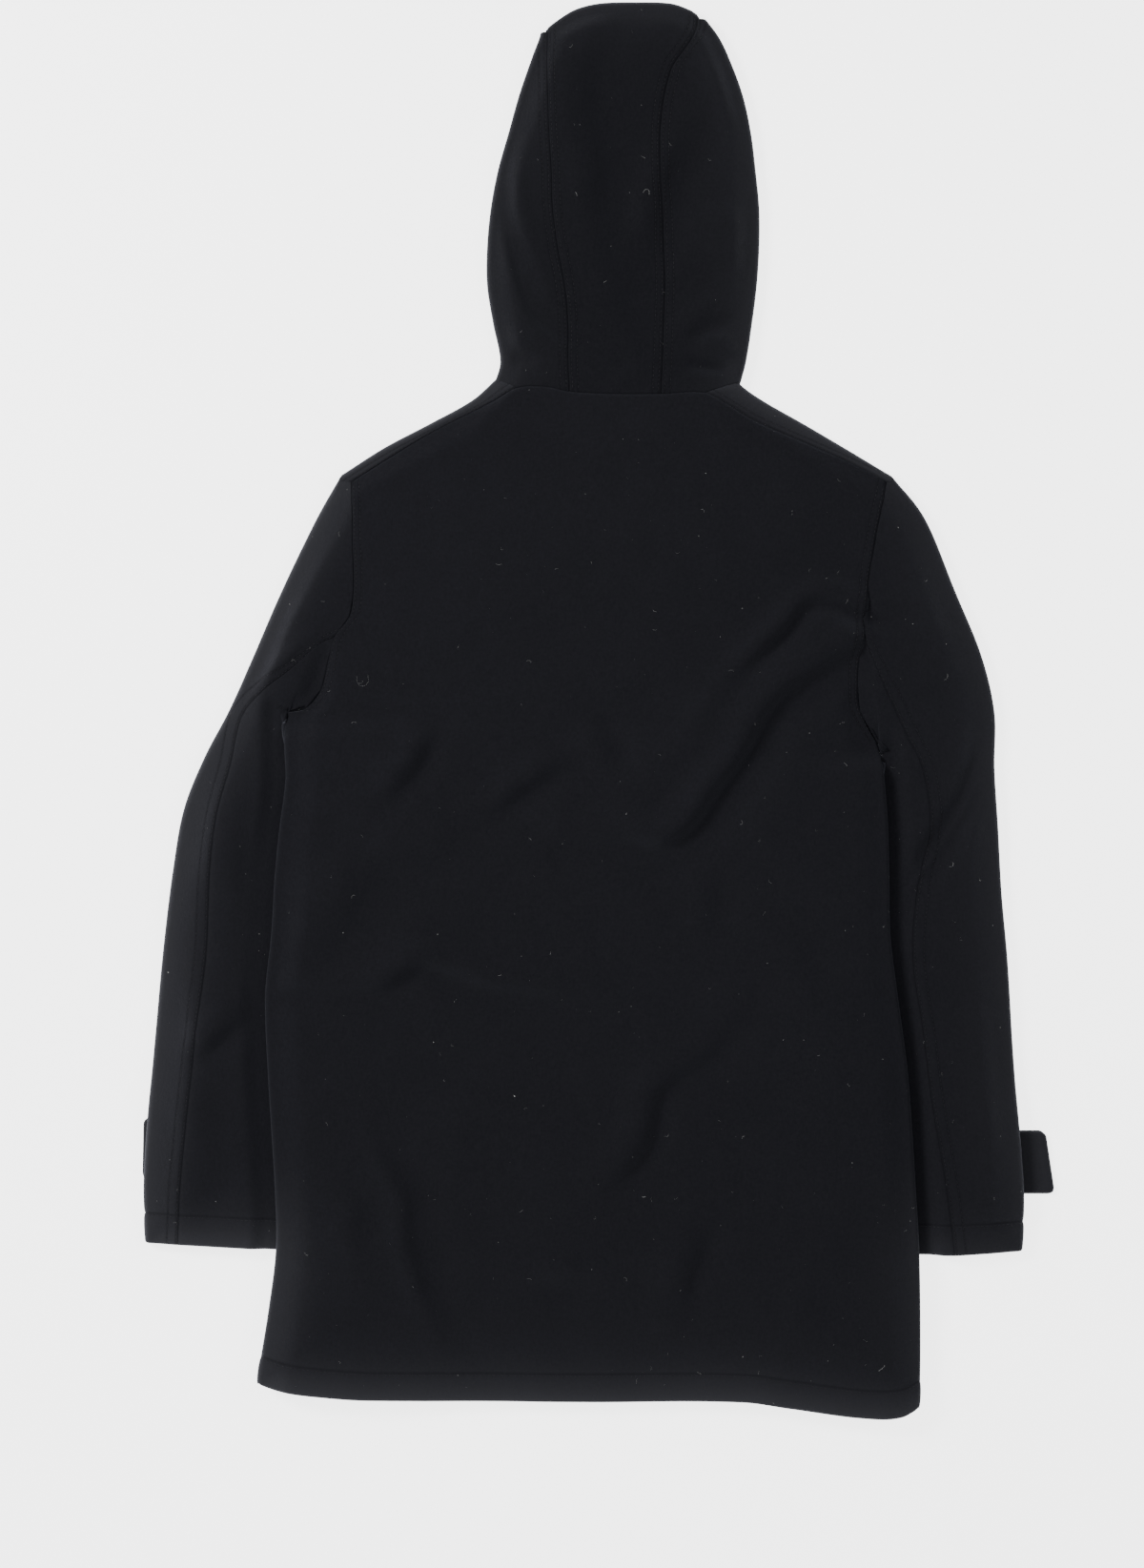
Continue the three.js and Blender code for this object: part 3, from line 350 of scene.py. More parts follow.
FOLDS = (
    # broad swells of the back and the skirt
    Fold(((-150, 60), (-60, 120), (60, 130), (150, 120)), 2.5, 60, 60),
    Fold(((-120, -420), (130, -420)), 2.2, 80, 80),
    Fold(((190, -480), (200, -330), (190, -200), (200, -120)), 1.8, 36, 36),
    # arch from the small of the back up into the right sleeve, and the valley under it
    Fold(((20, -60), (60, -42), (96, 10), (132, 46), (160, 66), (194, 74), (232, 62),
          (276, 44)), 3.2, 14, 20, 0.3, 0.5),
    Crease(((90, 8), (123, 37), (152, 64), (172, 86), (194, 91), (222, 80), (256, 75),
            (278, 60)), 3.4, 9, 7, 0.0, 0.1),
    Crease(((-30, -110), (18, -110), (52, -116), (80, -100), (100, -71), (123, -40), (140, -9),
            (159, 13), (185, 31), (212, 46)), 6.2, 13, 11, 0.3, 0.7),
    Fold(((205, -24), (166, -44), (144, -84), (118, -124)), 2.6, 20, 24),
    # small of the back
    Crease(((14, -56), (8, -30), (-8, -4)), 2.4, 12, 9, 0.2, 0.1),
    Crease(((-106, -88), (-81, -83), (-55, -65), (-20, -44)), 4.0, 12, 8, 0.3, 0.2),
    Crease(((-186, -82), (-166, -65), (-148, -43), (-138, -12)), 3.4, 12, 8, 0.2, 0.2),
    Fold(((64, -10), (48, -44), (34, -78)), 1.6, 18, 18),
    Crease(((-200, -130), (-160, -128), (-112, -126)), 1.8, 14, 10, 0.1, 0.1),
    Crease(((-255, -222), (-218, -190), (-201, -158), (-186, -120)), 3.0, 22, 18, 0.4, 0.1),
    Crease(((92, -196), (96, -134)), 1.6, 12, 10, 0.1, 0.1),
    Crease(((188, -250), (172, -214), (158, -178)), 1.4, 14, 14, 0.1, 0.1),
    # crease across the waist from the left edge
    Crease(((-268, -237), (-215, -235), (-180, -234), (-148, -217), (-117, -225), (-92, -234),
            (-55, -238), (22, -244)), 3.8, 12, 8, 0.8, 0.1),
    # skirt
    Crease(((-26, -420), (14, -394), (40, -364), (48, -330), (57, -314), (89, -294),
            (112, -268), (126, -246)), 3.8, 14, 9, 0.1, 0.3),
    Crease(((-124, -530), (-143, -486), (-156, -442), (-157, -408), (-175, -374),
            (-184, -344)), 2.8, 10, 14, 0.3, 0.2),
    Crease(((-196, -460), (-201, -432), (-190, -404)), 1.6, 12, 12, 0.1, 0.1),
    Crease(((66, -508), (77, -470), (95, -426)), 2.6, 14, 9, 0.2, 0.2),
    Crease(((-62, -478), (-24, -476), (-4, -462)), 1.6, 12, 10, 0.2, 0.1),
    Fold(((200, -430), (170, -480), (160, -540)), 1.8, 18, 18),
    # shoulders
    Fold(((-150, 190), (-110, 150), (-70, 120)), 1.6, 26, 26),
    Fold(((180, 180), (150, 150), (130, 110)), 1.6, 26, 26),
    Fold(((-60, 236), (0, 224), (70, 228)), 1.4, 16, 22),
    # left sleeve, its armhole's hollow and the ridge along its back seam
    Fold(((-250, 110), (-270, 70), (-290, 30)), 2.0, 30, 30),
    Fold(((-238, 62), (-262, 42), (-288, 18), (-310, -6)), 2.4, 6, 9, 0.3, 0.6),
    Fold(((-228, 46), (-240, 8), (-262, -14), (-264, -52), (-258, -74)), -6.0, 8, 8, 0.3, 0.5),
    Fold(((-300, -50), (-316, -90), (-324, -160)), 3.0, 20, 20),
    Fold(((-326, -190), (-335, -280), (-345, -420)), 3.0, 20, 20),
    Fold(((-290, -90), (-286, -130), (-288, -200), (-292, -250)), -4.0, 16, 14),
    Crease(((-340, -292), (-316, -274), (-292, -252)), 2.6, 12, 8),
    Fold(((-300, 10), (-322, -30), (-340, -60)), -1.6, 10, 10),
    # right sleeve, its armhole's hollow and the roll of the upper arm over the elbow
    Fold(((258, 130), (280, 90), (292, 40)), 2.6, 26, 26),
    Fold(((206, 54), (219, 6), (231, -28), (237, -54), (242, -104)), -3.0, 8, 8, 0.0, 0.5),
    Fold(((270, 10), (290, -30), (296, -60)), 2.6, 22, 22),
    Fold(((336, -14), (327, -36), (313, -60), (300, -84), (284, -110), (262, -140),
          (246, -160)), -8.0, 2.6, 14, 0.6, 0.9),
    Crease(((244, -164), (262, -144), (280, -120), (297, -94), (311, -66), (323, -36)),
           4.4, 12, 9, 0.9, 0.3),
    Fold(((342, -40), (331, -66), (316, -94), (294, -126)), 3.4, 16, 8, 0.6, 0.3),
    Fold(((300, -200), (322, -300), (330, -420)), 2.6, 24, 24),
    # hood
    Crease(((26, 318), (14, 370), (4, 415), (0, 462), (-8, 498), (-6, 530), (8, 572)),
           3.4, 18, 16, 0.3, 0.5),
    Crease(((30, 350), (46, 400), (60, 446), (84, 490)), 3.0, 14, 14, 0.3, 0.3),
    Fold(((-75, 500), (-70, 410), (-50, 350)), 3.0, 12, 18),
    Fold(((-84, 430), (-76, 400), (-64, 362), (-48, 326), (-6, 302), (17, 288)),
         -6.0, 10, 6, 0.8, 0.4),
    Fold(((92, 556), (104, 525), (117, 495), (126, 470)), 3.6, 8, 14, 0.6),
    Fold(((100, 430), (106, 380), (104, 350)), 3.0, 24, 24),
    Crease(((66, 308), (88, 322), (116, 334)), 2.6, 10, 7),
    Crease(((74, 296), (98, 293), (124, 288)), 3.0, 12, 9, 0.4, 0.9),
    Crease(((-98, 301), (-80, 299), (-60, 296)), 2.4, 10, 8, 0.9, 0.3),
)
# hollows at the corners of the hood's foot
HOLLOWS = (
    Fold(((80, 287), (100, 285), (120, 279)), -4.4, 8, 6, 0.7, 1.0),
    Fold(((-92, 294), (-76, 292), (-60, 290)), -3.8, 7, 5, 1.0, 0.5),
)


class Relief:
    """Folds and waves of the cloth, added to its flat height."""

    folds = FOLDS
    depth = 1.5  # of the folds, over the heights in their list
    base = 3.2  # level of the cloth between them
    soft = 2.0  # how softly it levels out where it touches down
    waves = (Ripple(3, 74.0, 1.3), Ripple(5, 31.0, 0.42), Ripple(8, 12.0, 0.12))

    @classmethod
    def at(cls, x: Array, y: Array) -> Array:
        """Height above the flat cloth, never below it."""
        total = cls.depth * sum(fold.rise(x, y) for fold in cls.folds)
        total = total + sum(wave.rise(x, y) for wave in cls.waves)
        return cls.soft * np.logaddexp(0.0, (total + cls.base) / cls.soft)


def lift_share(side: Side, y: Array) -> Array:
    """How much of its lift the body has beside a sleeve, from none at the armpit to all."""
    return smoothstep(armpit_y[side] - y, 0, LIFT_LENGTH)


def body_lift(x: Array, y: Array, ramp: float = LIFT_RAMP) -> Array:
    """Height of the body where it lies on a sleeve, and how it runs out beside it."""
    lifts = []
    for side in Side:
        inside = (x - side_of[side](y)) * side.inward
        covered = np.maximum((inner_of[side](y) - side_of[side](y)) * side.inward, 0)
        level = covered + LIFT_MARGIN
        slope = 1 - smoothstep(inside - level * LIFT_RAMP / ramp, 0, ramp)
        lifts.append((SLEEVE_STACK + LAYER_GAP) * lift_share(side, y) * slope)
    return np.where(np.asarray(x) < 0, lifts[0], lifts[1])


# ---- Cloth surfaces ----------------------------------------------------------------------


class Border(Enum):
    """A border of a grid: its first or last row, or the start or end of its rows."""

    FIRST = "first"
    LAST = "last"
    START = "start"
    END = "end"


FAR = 1e3  # distance where there is nothing near, in millimetres
MARKS = ("sewn", "stitched", "hemmed", "edged")  # distances that the finishes read


@dataclass
class Surface:
    """Outside of a piece of cloth: a grid of points in millimetres and the way out at each."""

    at: Array
    out: Array
    sewn: Array | None = None  # distance to the nearest seam
    stitched: Array | None = None  # distance to the nearest topstitched seam
    hemmed: Array | None = None  # distance to the hem's edge
    edged: Array | None = None  # distance to the outline of the laid coat, which masks the painted edge highlight

    def gap(self, border: Border, part: slice = slice(None)) -> Array:
        """Distance of each point from a border, walked along the grid.

        Args:
            border: the border to walk from.
            part: the rows or columns that it covers. The others are far from it.

        Returns:
            One distance a point.
        """
        across = border in (Border.START, Border.END)
        steps = np.linalg.norm(np.diff(self.at, axis=1 if across else 0), axis=2)
        if across:
            steps = steps.T
        zero = np.zeros((1, steps.shape[1]))
        if border in (Border.FIRST, Border.START):
            walked = np.vstack([zero, np.cumsum(steps, axis=0)])
        else:
            walked = np.vstack([zero, np.cumsum(steps[::-1], axis=0)])[::-1]
        far = np.full_like(walked, FAR)
        far[:, part] = walked[:, part]
        return far.T if across else far

    def nearest(self, borders: Sequence[tuple[Border, slice]]) -> Array:
        """Distance of each point from the nearest of several borders."""
        far = np.full(self.at.shape[:2], FAR)
        return np.minimum.reduce([far, *(self.gap(border, part) for border, part in borders)])

    def from_row(self, row: int) -> Array:
        """Distance of each point from a row, walked along the grid."""
        steps = np.linalg.norm(np.diff(self.at, axis=0), axis=2)
        walked = np.vstack([np.zeros((1, steps.shape[1])), np.cumsum(steps, axis=0)])
        return np.abs(walked - walked[row])

    def from_column(self, column: int) -> Array:
        """Distance of each point from a column, walked along the grid."""
        steps = np.linalg.norm(np.diff(self.at, axis=1), axis=2)
        walked = np.hstack([np.zeros((steps.shape[0], 1)), np.cumsum(steps, axis=1)])
        return np.abs(walked - walked[:, column:column + 1])

    def sink(self, depth: float, width: float) -> None:
        """Draws the cloth in along its seams."""
        share = np.clip(1 - self.sewn / width, 0, 1) ** 2
        self.at = self.at - self.out * (depth * share)[..., None]

    def tucked(self, borders: Sequence[Border], reach: float, depth: float = WALL) -> "Surface":
        """The same cloth with a narrow seam allowance turned down behind some borders."""
        grids = {"at": self.at, "out": self.out}
        marks = {word: getattr(self, word)[..., None] for word in MARKS
                 if getattr(self, word) is not None}
        grids.update(marks)
        for border in borders:
            axis = 1 if border in (Border.START, Border.END) else 0
            ahead = border in (Border.FIRST, Border.START)
            take = lambda grid, i: np.take(grid, [i if ahead else -1 - i], axis=axis)
            edge, out = take(grids["at"], 0), take(grids["out"], 0)
            way = edge - take(grids["at"], 1)
            way = unit(way - out * (way * out).sum(-1, keepdims=True))
            for share, drop in ((0.3, 0.5), (1.0, 1.0)):
                turned = {"at": edge + way * (reach * share) - out * (depth * drop)}
                for word, grid in grids.items():
                    strip = turned.get(word, take(grid, 0))
                    pair = [strip, grid] if ahead else [grid, strip]
                    grids[word] = np.concatenate(pair, axis=axis)
        return Surface(grids["at"], grids["out"], **{word: grids[word][..., 0] for word in marks})

    def round_hem(self, radius: float, band: float, puff: float) -> None:
        """Rounds the hem's edge, fills out its band and draws in its stitching.

        Args:
            radius: of the edge.
            band: distance of the stitching from the edge.
            puff: how much the band stands out.
        """
        d = self.hemmed
        edge = radius * (1 - np.sqrt(np.clip(1 - np.clip(1 - d / radius, 0, 1) ** 2, 0, 1)))
        fill = puff * np.sin(np.pi * np.clip(d / band, 0, 1)) ** 0.7
        draw = 0.7 * np.exp(-(((d - band) / 2.2) ** 2))
        self.at = self.at + self.out * (fill - draw - edge)[..., None]

    def line(self, border: Border, offset: float, part: slice = slice(None)) -> tuple[Array, Array]:
        """Points at an offset from a border, and the way out at each."""
        gaps, at, out = self.gap(border), self.at, self.out
        if border in (Border.START, Border.END):
            gaps, at, out = gaps.T, at.transpose(1, 0, 2), out.transpose(1, 0, 2)
        if border in (Border.LAST, Border.END):
            gaps, at, out = gaps[::-1], at[::-1], out[::-1]
        columns = range(at.shape[1])[part]
        both = np.concatenate([at, out], axis=2)
        spots = np.array([[np.interp(offset, gaps[:, c], both[:, c, k]) for k in range(6)]
                          for c in columns])
        return spots[:, :3], spots[:, 3:]


def unit(vectors: Array) -> Array:
    """The same directions with length 1."""
    return vectors / np.maximum(np.linalg.norm(vectors, axis=-1, keepdims=True), 1e-9)


def stack(x: Array, y: Array, z: Array) -> Array:
    """Points from their coordinates."""
    return np.stack(np.broadcast_arrays(x, y, z), axis=-1).astype(float)


def along(points: Array, shares: Array) -> Array:
    """Points at shares of the way through a list of points, by their number."""
    spots = np.asarray(shares) * (len(points) - 1)
    places = np.arange(len(points))
    return np.stack([np.interp(spots, places, points[:, k]) for k in range(points.shape[1])], -1)


@dataclass(frozen=True)
class Cut:
    """Flat size of a piece's cut in metres: width and length of its box, and its area."""

    width: float
    length: float
    area: float | None = None


def dress(item: bpy.types.Object, finish: bpy.types.Material, *nodes: str) -> None:
    """Gives a piece its finish and its body, and hides the CAD nodes that it stands for."""
    item.data.materials.clear()
    item.data.materials.append(finish)
    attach(item, "root")
    if nodes:
        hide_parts(*nodes)
    LOG.info("%s: %d points, %d faces", item.name, len(item.data.vertices),
             len(item.data.polygons))


def linked(name: str, data: bpy.types.ID) -> bpy.types.Object:
    """A new object in the scene, at the origin, with this mesh, curve, light or camera."""
    item = bpy.data.objects.new(name, data)
    bpy.context.scene.collection.objects.link(item)
    return item


def smooth_object(name: str, bm: bmesh.types.BMesh) -> bpy.types.Object:
    """Turns a bmesh into an object with smooth shading, and frees it."""
    mesh = bpy.data.meshes.new(name)
    bm.to_mesh(mesh)
    bm.free()
    mesh.polygons.foreach_set("use_smooth", np.ones(len(mesh.polygons), bool))
    return linked(name, mesh)


def cloth_object(name: str, surfaces: Sequence[Surface]) -> bpy.types.Object:
    """A piece of cloth with its thickness, from the grids of its outer surface.

    Args:
        name: the piece's name.
        surfaces: its outside, in grids that are joined where they meet.

    Returns:
        The object, with its distances to seams, hem and outline as attributes.
    """
    bm = bmesh.new()
    layers = [bm.verts.layers.float.new(word) for word in MARKS]
    for surface in surfaces:
        rows, columns = surface.at.shape[:2]
        grid = bmesh.ops.create_grid(bm, x_segments=columns - 1, y_segments=rows - 1, size=1.0)
        verts = grid["verts"]
        at = surface.at.copy()
        at[..., 2] = np.maximum(at[..., 2], 0)
        places = ((at + ORIGIN) * MM).reshape(-1, 3)
        marks = [getattr(surface, word) for word in MARKS]
        gaps = [np.full(len(verts), FAR) if g is None else g.reshape(-1) for g in marks]
        for i, (vert, place) in enumerate(zip(verts, places)):
            vert.co = place
            for layer, values in zip(layers, gaps):
                vert[layer] = values[i]
        bm.normal_update()
        outward = surface.out.reshape(-1, 3)
        facing = sum(vert.normal.dot(Vector(way)) for vert, way in zip(verts, outward))
        if facing < 0:
            faces = list({face for vert in verts for face in vert.link_faces})
            bmesh.ops.reverse_faces(bm, faces=faces)
    if len(surfaces) > 1:
        bmesh.ops.remove_doubles(bm, verts=bm.verts, dist=0.05 * MM)
    item = smooth_object(name, bm)
    thick = item.modifiers.new("Cloth", "SOLIDIFY")
    thick.thickness = WALL * MM
    thick.offset = -1.0
    return item


# ---- Body ---------------------------------------------------------------------------------


@dataclass
class Rows:
    """Rows across the body, hem first, and where each one meets the body's edges."""

    x: dict[Side, Array]
    y: dict[Side, Array]
    above: Array  # rows above the armpit, in rows of the armhole's table
    hem: Array  # share of the hem's curve in the row
    top: Array  # share of the top edge's curve

    @classmethod
    def make(cls, lower: Array, upper: Array, tops: dict[Side, tuple[float, float]]) -> "Rows":
        """Rows at shares from hem to armpit, then at rows of the armholes.

        Args:
            lower: shares from 0 at the hem to 1 at the armpit.
            upper: rows above the armpit, to 10 at the shoulder.
            tops: where the last row meets the edges.

        Returns:
            The rows.
        """
        xs, ys = {}, {}
        for side in Side:
            corner = HEM["y"][0 if side is Side.LEFT else -1]
            y = lerp(corner, armpit_y[side], lower)
            k = ARMPIT_ROW - upper
            hole = ARMHOLES[side]
            hole_x, hole_y = hole.curve("row", "x")(k), hole.curve("row", "y")(k)
            near = np.clip(1 - k, 0, 1)
            top_x, top_y = tops[side]
            hole_x = hole_x + (top_x - hole["x"][0]) * near
            hole_y = hole_y + (top_y - hole["y"][0]) * near
            xs[side] = np.concatenate([side_of[side](y), hole_x])
            ys[side] = np.concatenate([y, hole_y])
        none, low = np.zeros_like(lower), np.zeros_like(upper)
        return cls(xs, ys, np.concatenate([none, upper]),
                   np.concatenate([(1 - lower) ** 3, low]),
                   np.concatenate([none, (upper / ARMPIT_ROW) ** 2]))

    def height(self, x: Array, top_of: Curve) -> Array:
        """Y at which the rows pass x, between the hem's curve and the top edge's."""
        left, right = Side.LEFT, Side.RIGHT
        share = (x - self.x[left][:, None]) / (self.x[right] - self.x[left])[:, None]

        def chord(i: int) -> Array:
            """The straight line between a row's ends."""
            return lerp(self.y[left][i], self.y[right][i], share)

        def place(i: int) -> Array:
            """X at the same shares of a row."""
            return lerp(self.x[left][i], self.x[right][i], share)

        own = lerp(self.y[left][:, None], self.y[right][:, None], share)
        hem_bow = hem_of(place(0)) - chord(0)
        top_bow = top_of(place(-1)) - chord(-1)
        return own + self.hem[:, None] * hem_bow + self.top[:, None] * top_bow


@dataclass
class Body:
    """The one-piece back and the two fronts under it."""

    roll_steps: int = 7
    shoulder_steps: int = 62
    neck_steps: tuple[int, int] = (14, 26)
    hem_band: float = 24.0
    armpit_allowance: float = 10.0  # how far the front runs on under the armpit's seams
    shoulder_columns: int = 30  # of a front, between its fold and the neck
    armhole_rows: int = 70  # of the back, beside which the armholes are topstitched
    low_sleeves: tuple[float, float] = (-470.0, -270.0)  # y of the skirt, and of the cuffs' tops
    highlight_inset: float = 90.0  # how much less painted highlight the back's edge has beside a sleeve
    right_highlight_inset: float = 12.0  # and along the right, the side away from the key light
    cuts: dict[str, Cut] = field(default_factory=lambda: {
        "back": Cut(0.585, 0.870, 0.415), "front_left": Cut(0.335, 0.880, 0.237),
        "front_right": Cut(0.308, 0.890, 0.223)})

    def back_rows(self) -> Rows:
        """The back's rows."""
        lower = spread([(0, 0.005, 6), (0.005, 0.05, 11), (0.05, 1, 164)])
        upper = spread([(0, 9.6, 66), (9.6, 10, 5)])[1:]
        tops = {side: (ARMHOLES[side]["x"][0], ARMHOLES[side]["y"][0]) for side in Side}
        return Rows.make(lower, upper, tops)

    @staticmethod
    def reach(rows: Rows) -> Array:
        """How far in from an edge the fold's columns end."""
        return SIDE_ROLL * (1 + 0.25 * rows.above)

    def neck_shares(self) -> list[float]:
        """Shares of the body's width at the neck's ends and the centre strip's seams."""
        first, last = BACK_TOP["x"][0], BACK_TOP["x"][-1]
        stops = (-69.0, HOOD["leftSeam"][0], HOOD["rightSeam"][0], 88.0)
        return [(x - first) / (last - first) for x in stops]

    def back_height(self, rows: Rows, x: Array, y: Array) -> Array:
        """Top of the back: level with the folds at its edges, higher inside them."""
        flat = BODY_STACK + Relief.at(x, y)
        left, right = rows.x[Side.LEFT][:, None], rows.x[Side.RIGHT][:, None]
        inside = np.minimum(x - left, right - x) - SIDE_ROLL
        from_side = smoothstep(inside + rows.above[:, None] * EDGE_BLEND / 3, 0, EDGE_BLEND)
        inside_top = shoulder_fold_of(x) - y - SHOULDER_ROLL
        from_top = smoothstep(inside_top, 0, EDGE_BLEND)
        at_side = lerp(2 * SIDE_ROLL, flat, from_side)
        at_top = lerp(2 * SHOULDER_ROLL, flat, from_top)
        return body_lift(x, y, BACK_RAMP) + np.minimum(at_side, at_top)

    def side_columns(self, rows: Rows, side: Side, turn: float, top_of: Curve,
                     flat_z: Callable[[Array, Array], Array]) -> tuple[Array, Array]:
        """Points round the fold along a side, or flat above the armpit, from the edge in.

        Args:
            rows: the piece's rows.
            side: which edge.
            turn: angle at which the fold ends, up or down.
            top_of: the piece's top edge.
            flat_z: height of the flat cloth.

        Returns:
            The points and the ways out.
        """
        steps = np.linspace(0, 1, self.roll_steps + 1)[None, :]
        angle = steps * turn
        edge = rows.x[side][:, None]
        edge_y = rows.y[side][:, None]
        base = body_lift(edge, edge_y)
        opened = smoothstep(rows.above, 0, 1)[:, None]
        x_fold = edge + side.inward * SIDE_ROLL * (1 - np.cos(angle))
        x_flat = edge + side.inward * self.reach(rows)[:, None] * steps
        x = lerp(x_fold, x_flat, opened)
        y = rows.height(x, top_of)
        z = lerp(base + SIDE_ROLL * (1 + np.sin(angle)), flat_z(x, y), opened)
        way = UP if turn > 0 else DOWN
        out = stack(-side.inward * np.cos(angle), 0 * angle, np.sin(angle))
        out = unit(lerp(out, way, opened[..., None]))
        return stack(x, y, z), np.broadcast_to(out, (*x.shape, 3))

    def back(self) -> Surface:
        """The back's outside, from its side seams to its top edge."""
        rows = self.back_rows()
        left, right = rows.x[Side.LEFT], rows.x[Side.RIGHT]
        shares = self.neck_shares()
        top = lambda x, y: self.back_height(rows, x, y)
        stops = [left + self.reach(rows), *(lerp(left, right, s) for s in shares),
                 right - self.reach(rows)]
        counts = [self.shoulder_steps, self.neck_steps[0], self.neck_steps[1],
                  self.neck_steps[0], self.shoulder_steps]
        runs = [lerp(a[:, None], b[:, None], np.arange(1, n + 1)[None, :] / n)
                for a, b, n in zip(stops, stops[1:], counts)]
        x = np.concatenate(runs, axis=1)[:, :-1]
        y = rows.height(x, back_top_of)
        middle = stack(x, y, top(x, y))
        quarter = math.pi / 2
        start, start_out = self.side_columns(rows, Side.LEFT, quarter, back_top_of, top)
        end, end_out = self.side_columns(rows, Side.RIGHT, quarter, back_top_of, top)
        at = np.concatenate([start, middle, end[:, ::-1]], axis=1)
        out = np.concatenate([start_out, np.broadcast_to(UP, middle.shape), end_out[:, ::-1]], 1)
        surface = Surface(at, out)
        holes = slice(len(rows.above) - int((rows.above > 0).sum()), None)
        surface.stitched = surface.nearest([(Border.START, holes), (Border.END, holes)])
        surface.sewn = np.minimum(surface.stitched, surface.gap(Border.LAST))
        surface.hemmed = surface.gap(Border.FIRST)
        # The back's painted edge highlight fades in from the outline, less beside the sleeves and
        # along the right.
        on_sleeve = self.highlight_inset * smoothstep(surface.at[..., 1], *self.low_sleeves)
        right = surface.gap(Border.END) + self.right_highlight_inset
        sides = np.minimum(surface.gap(Border.START), right)
        surface.edged = np.minimum(sides + on_sleeve, surface.hemmed)
        return surface

    def stops(self) -> list[int]:
        """Columns of the back at the neck's ends and the centre strip's seams."""
        first = self.roll_steps + self.shoulder_steps
        side, centre = self.neck_steps
        return [first, first + side, first + side + centre, first + 2 * side + centre]

    def armhole(self, back: Surface, side: Side) -> Array:
        """The back's points along an armhole, shoulder first, at the armhole's rows."""
        rows = self.back_rows()
        column = back.at[:, 0 if side is Side.LEFT else -1]
        count = int((rows.above > 0).sum()) + 1
        part, above = column[-count:], rows.above[-count:]
        wanted = np.arange(ARMPIT_ROW, -1, -1.0)
        return np.stack([np.interp(wanted, above, part[:, k]) for k in range(3)], -1)

    def front(self, side: Side, back: Surface) -> list[Surface]:
        """A front: its floor panel up to the neckline, and its fold over the shoulder."""
        corner = {Side.LEFT: (-216.0, 195.0), Side.RIGHT: (245.0, 194.0)}
        tops = {s: (x, y - SHOULDER_ROLL) for s, (x, y) in corner.items()}
        lower = spread([(0, 0.006, 5), (0.006, 0.05, 4), (0.05, 1, 50)])
        rows = Rows.make(lower, spread([(0, 10, 40)])[1:], tops)
        allowance = smoothstep(rows.above, 0, 0.4) * (1 - smoothstep(rows.above, 1.5, 3.5))
        rows.x[side] = rows.x[side] - side.inward * self.armpit_allowance * allowance
        neck = NECKLINES[side]
        order = np.argsort(neck["x"])
        neck_x, neck_y = neck["x"][order], neck["y"][order]
        meet = float(neck["x"][0])

        def top_of(x: Array) -> Array:
            """The neckline, or the foot of the fold over the shoulder."""
            shoulder = shoulder_fold_of(x) - SHOULDER_ROLL
            within = (x - meet) * side.inward > 0
            return np.where(within, np.interp(x, neck_x, neck_y), shoulder)

        left, right = rows.x[Side.LEFT], rows.x[Side.RIGHT]
        share = (meet - left[-1]) / (right[-1] - left[-1])
        start = rows.x[side] + side.inward * self.reach(rows)
        neck_line = lerp(left, right, share)
        shares = np.linspace(0, 1, self.shoulder_columns + 1)[None, 1:]
        shoulder = lerp(start[:, None], neck_line[:, None], shares)
        fly = FLY[side]
        close = float(fly["x"][-1])
        share_close = np.linspace(0, 1, 41)[None, 1:]
        inner = lerp(neck_line[:, None], close, share_close ** 0.8)
        climb_x, climb_z = fly["x"], fly["z"]
        order = np.argsort(climb_x)

        def floor_z(x: Array, y: Array) -> Array:
            """Height of the panel, where one front laps over the other."""
            return body_lift(x, y) + np.interp(x, climb_x[order], climb_z[order])

        edge, edge_out = self.side_columns(rows, side, -math.pi / 2, top_of, body_lift)
        x = np.concatenate([shoulder, inner], axis=1)
        y = rows.height(x, top_of)
        panel = stack(x, y, floor_z(x, y))
        at = np.concatenate([edge, panel], axis=1)
        out = np.concatenate([edge_out, np.broadcast_to(DOWN, panel.shape)], axis=1)
        floor = Surface(at, out)
        floor.hemmed = floor.gap(Border.FIRST)
        count = self.roll_steps + 1 + self.shoulder_columns
        foot = at[-1, :count]
        angle = np.linspace(-math.pi / 2, math.pi / 2, 13)[:, None]
        fold_y = foot[None, :, 1] + SHOULDER_ROLL * np.cos(angle)
        fold_z = foot[None, :, 2] + SHOULDER_ROLL * (1 + np.sin(angle))
        fold = stack(foot[None, :, 0], fold_y, fold_z)
        fold_out = stack(0 * fold_y, np.cos(angle), np.sin(angle))
        seam = self.shoulder_seam(back, side, count)
        bridge = lerp(fold[-1][None], seam[None], np.linspace(0, 1, 6)[1:, None, None])
        over = Surface(np.concatenate([fold, bridge]),
                       np.concatenate([fold_out, np.broadcast_to(UP, bridge.shape)]))
        over.sewn = over.stitched = over.nearest([(Border.LAST, slice(None))])
        over.edged = over.from_row(len(fold) // 2)
        return [floor, over]

    def shoulder_seam(self, back: Surface, side: Side, count: int) -> Array:
        """The back's points along a shoulder seam, armhole first."""
        top = back.at[-1]
        first = self.stops()[0]
        part = top[:first + 1] if side is Side.LEFT else top[-(first + 1):][::-1]
        roll = part[:self.roll_steps + 1]
        rest = along(part[self.roll_steps:], np.linspace(0, 1, count - self.roll_steps))
        return np.concatenate([roll, rest[1:]])


# ---- Sleeves ------------------------------------------------------------------------------


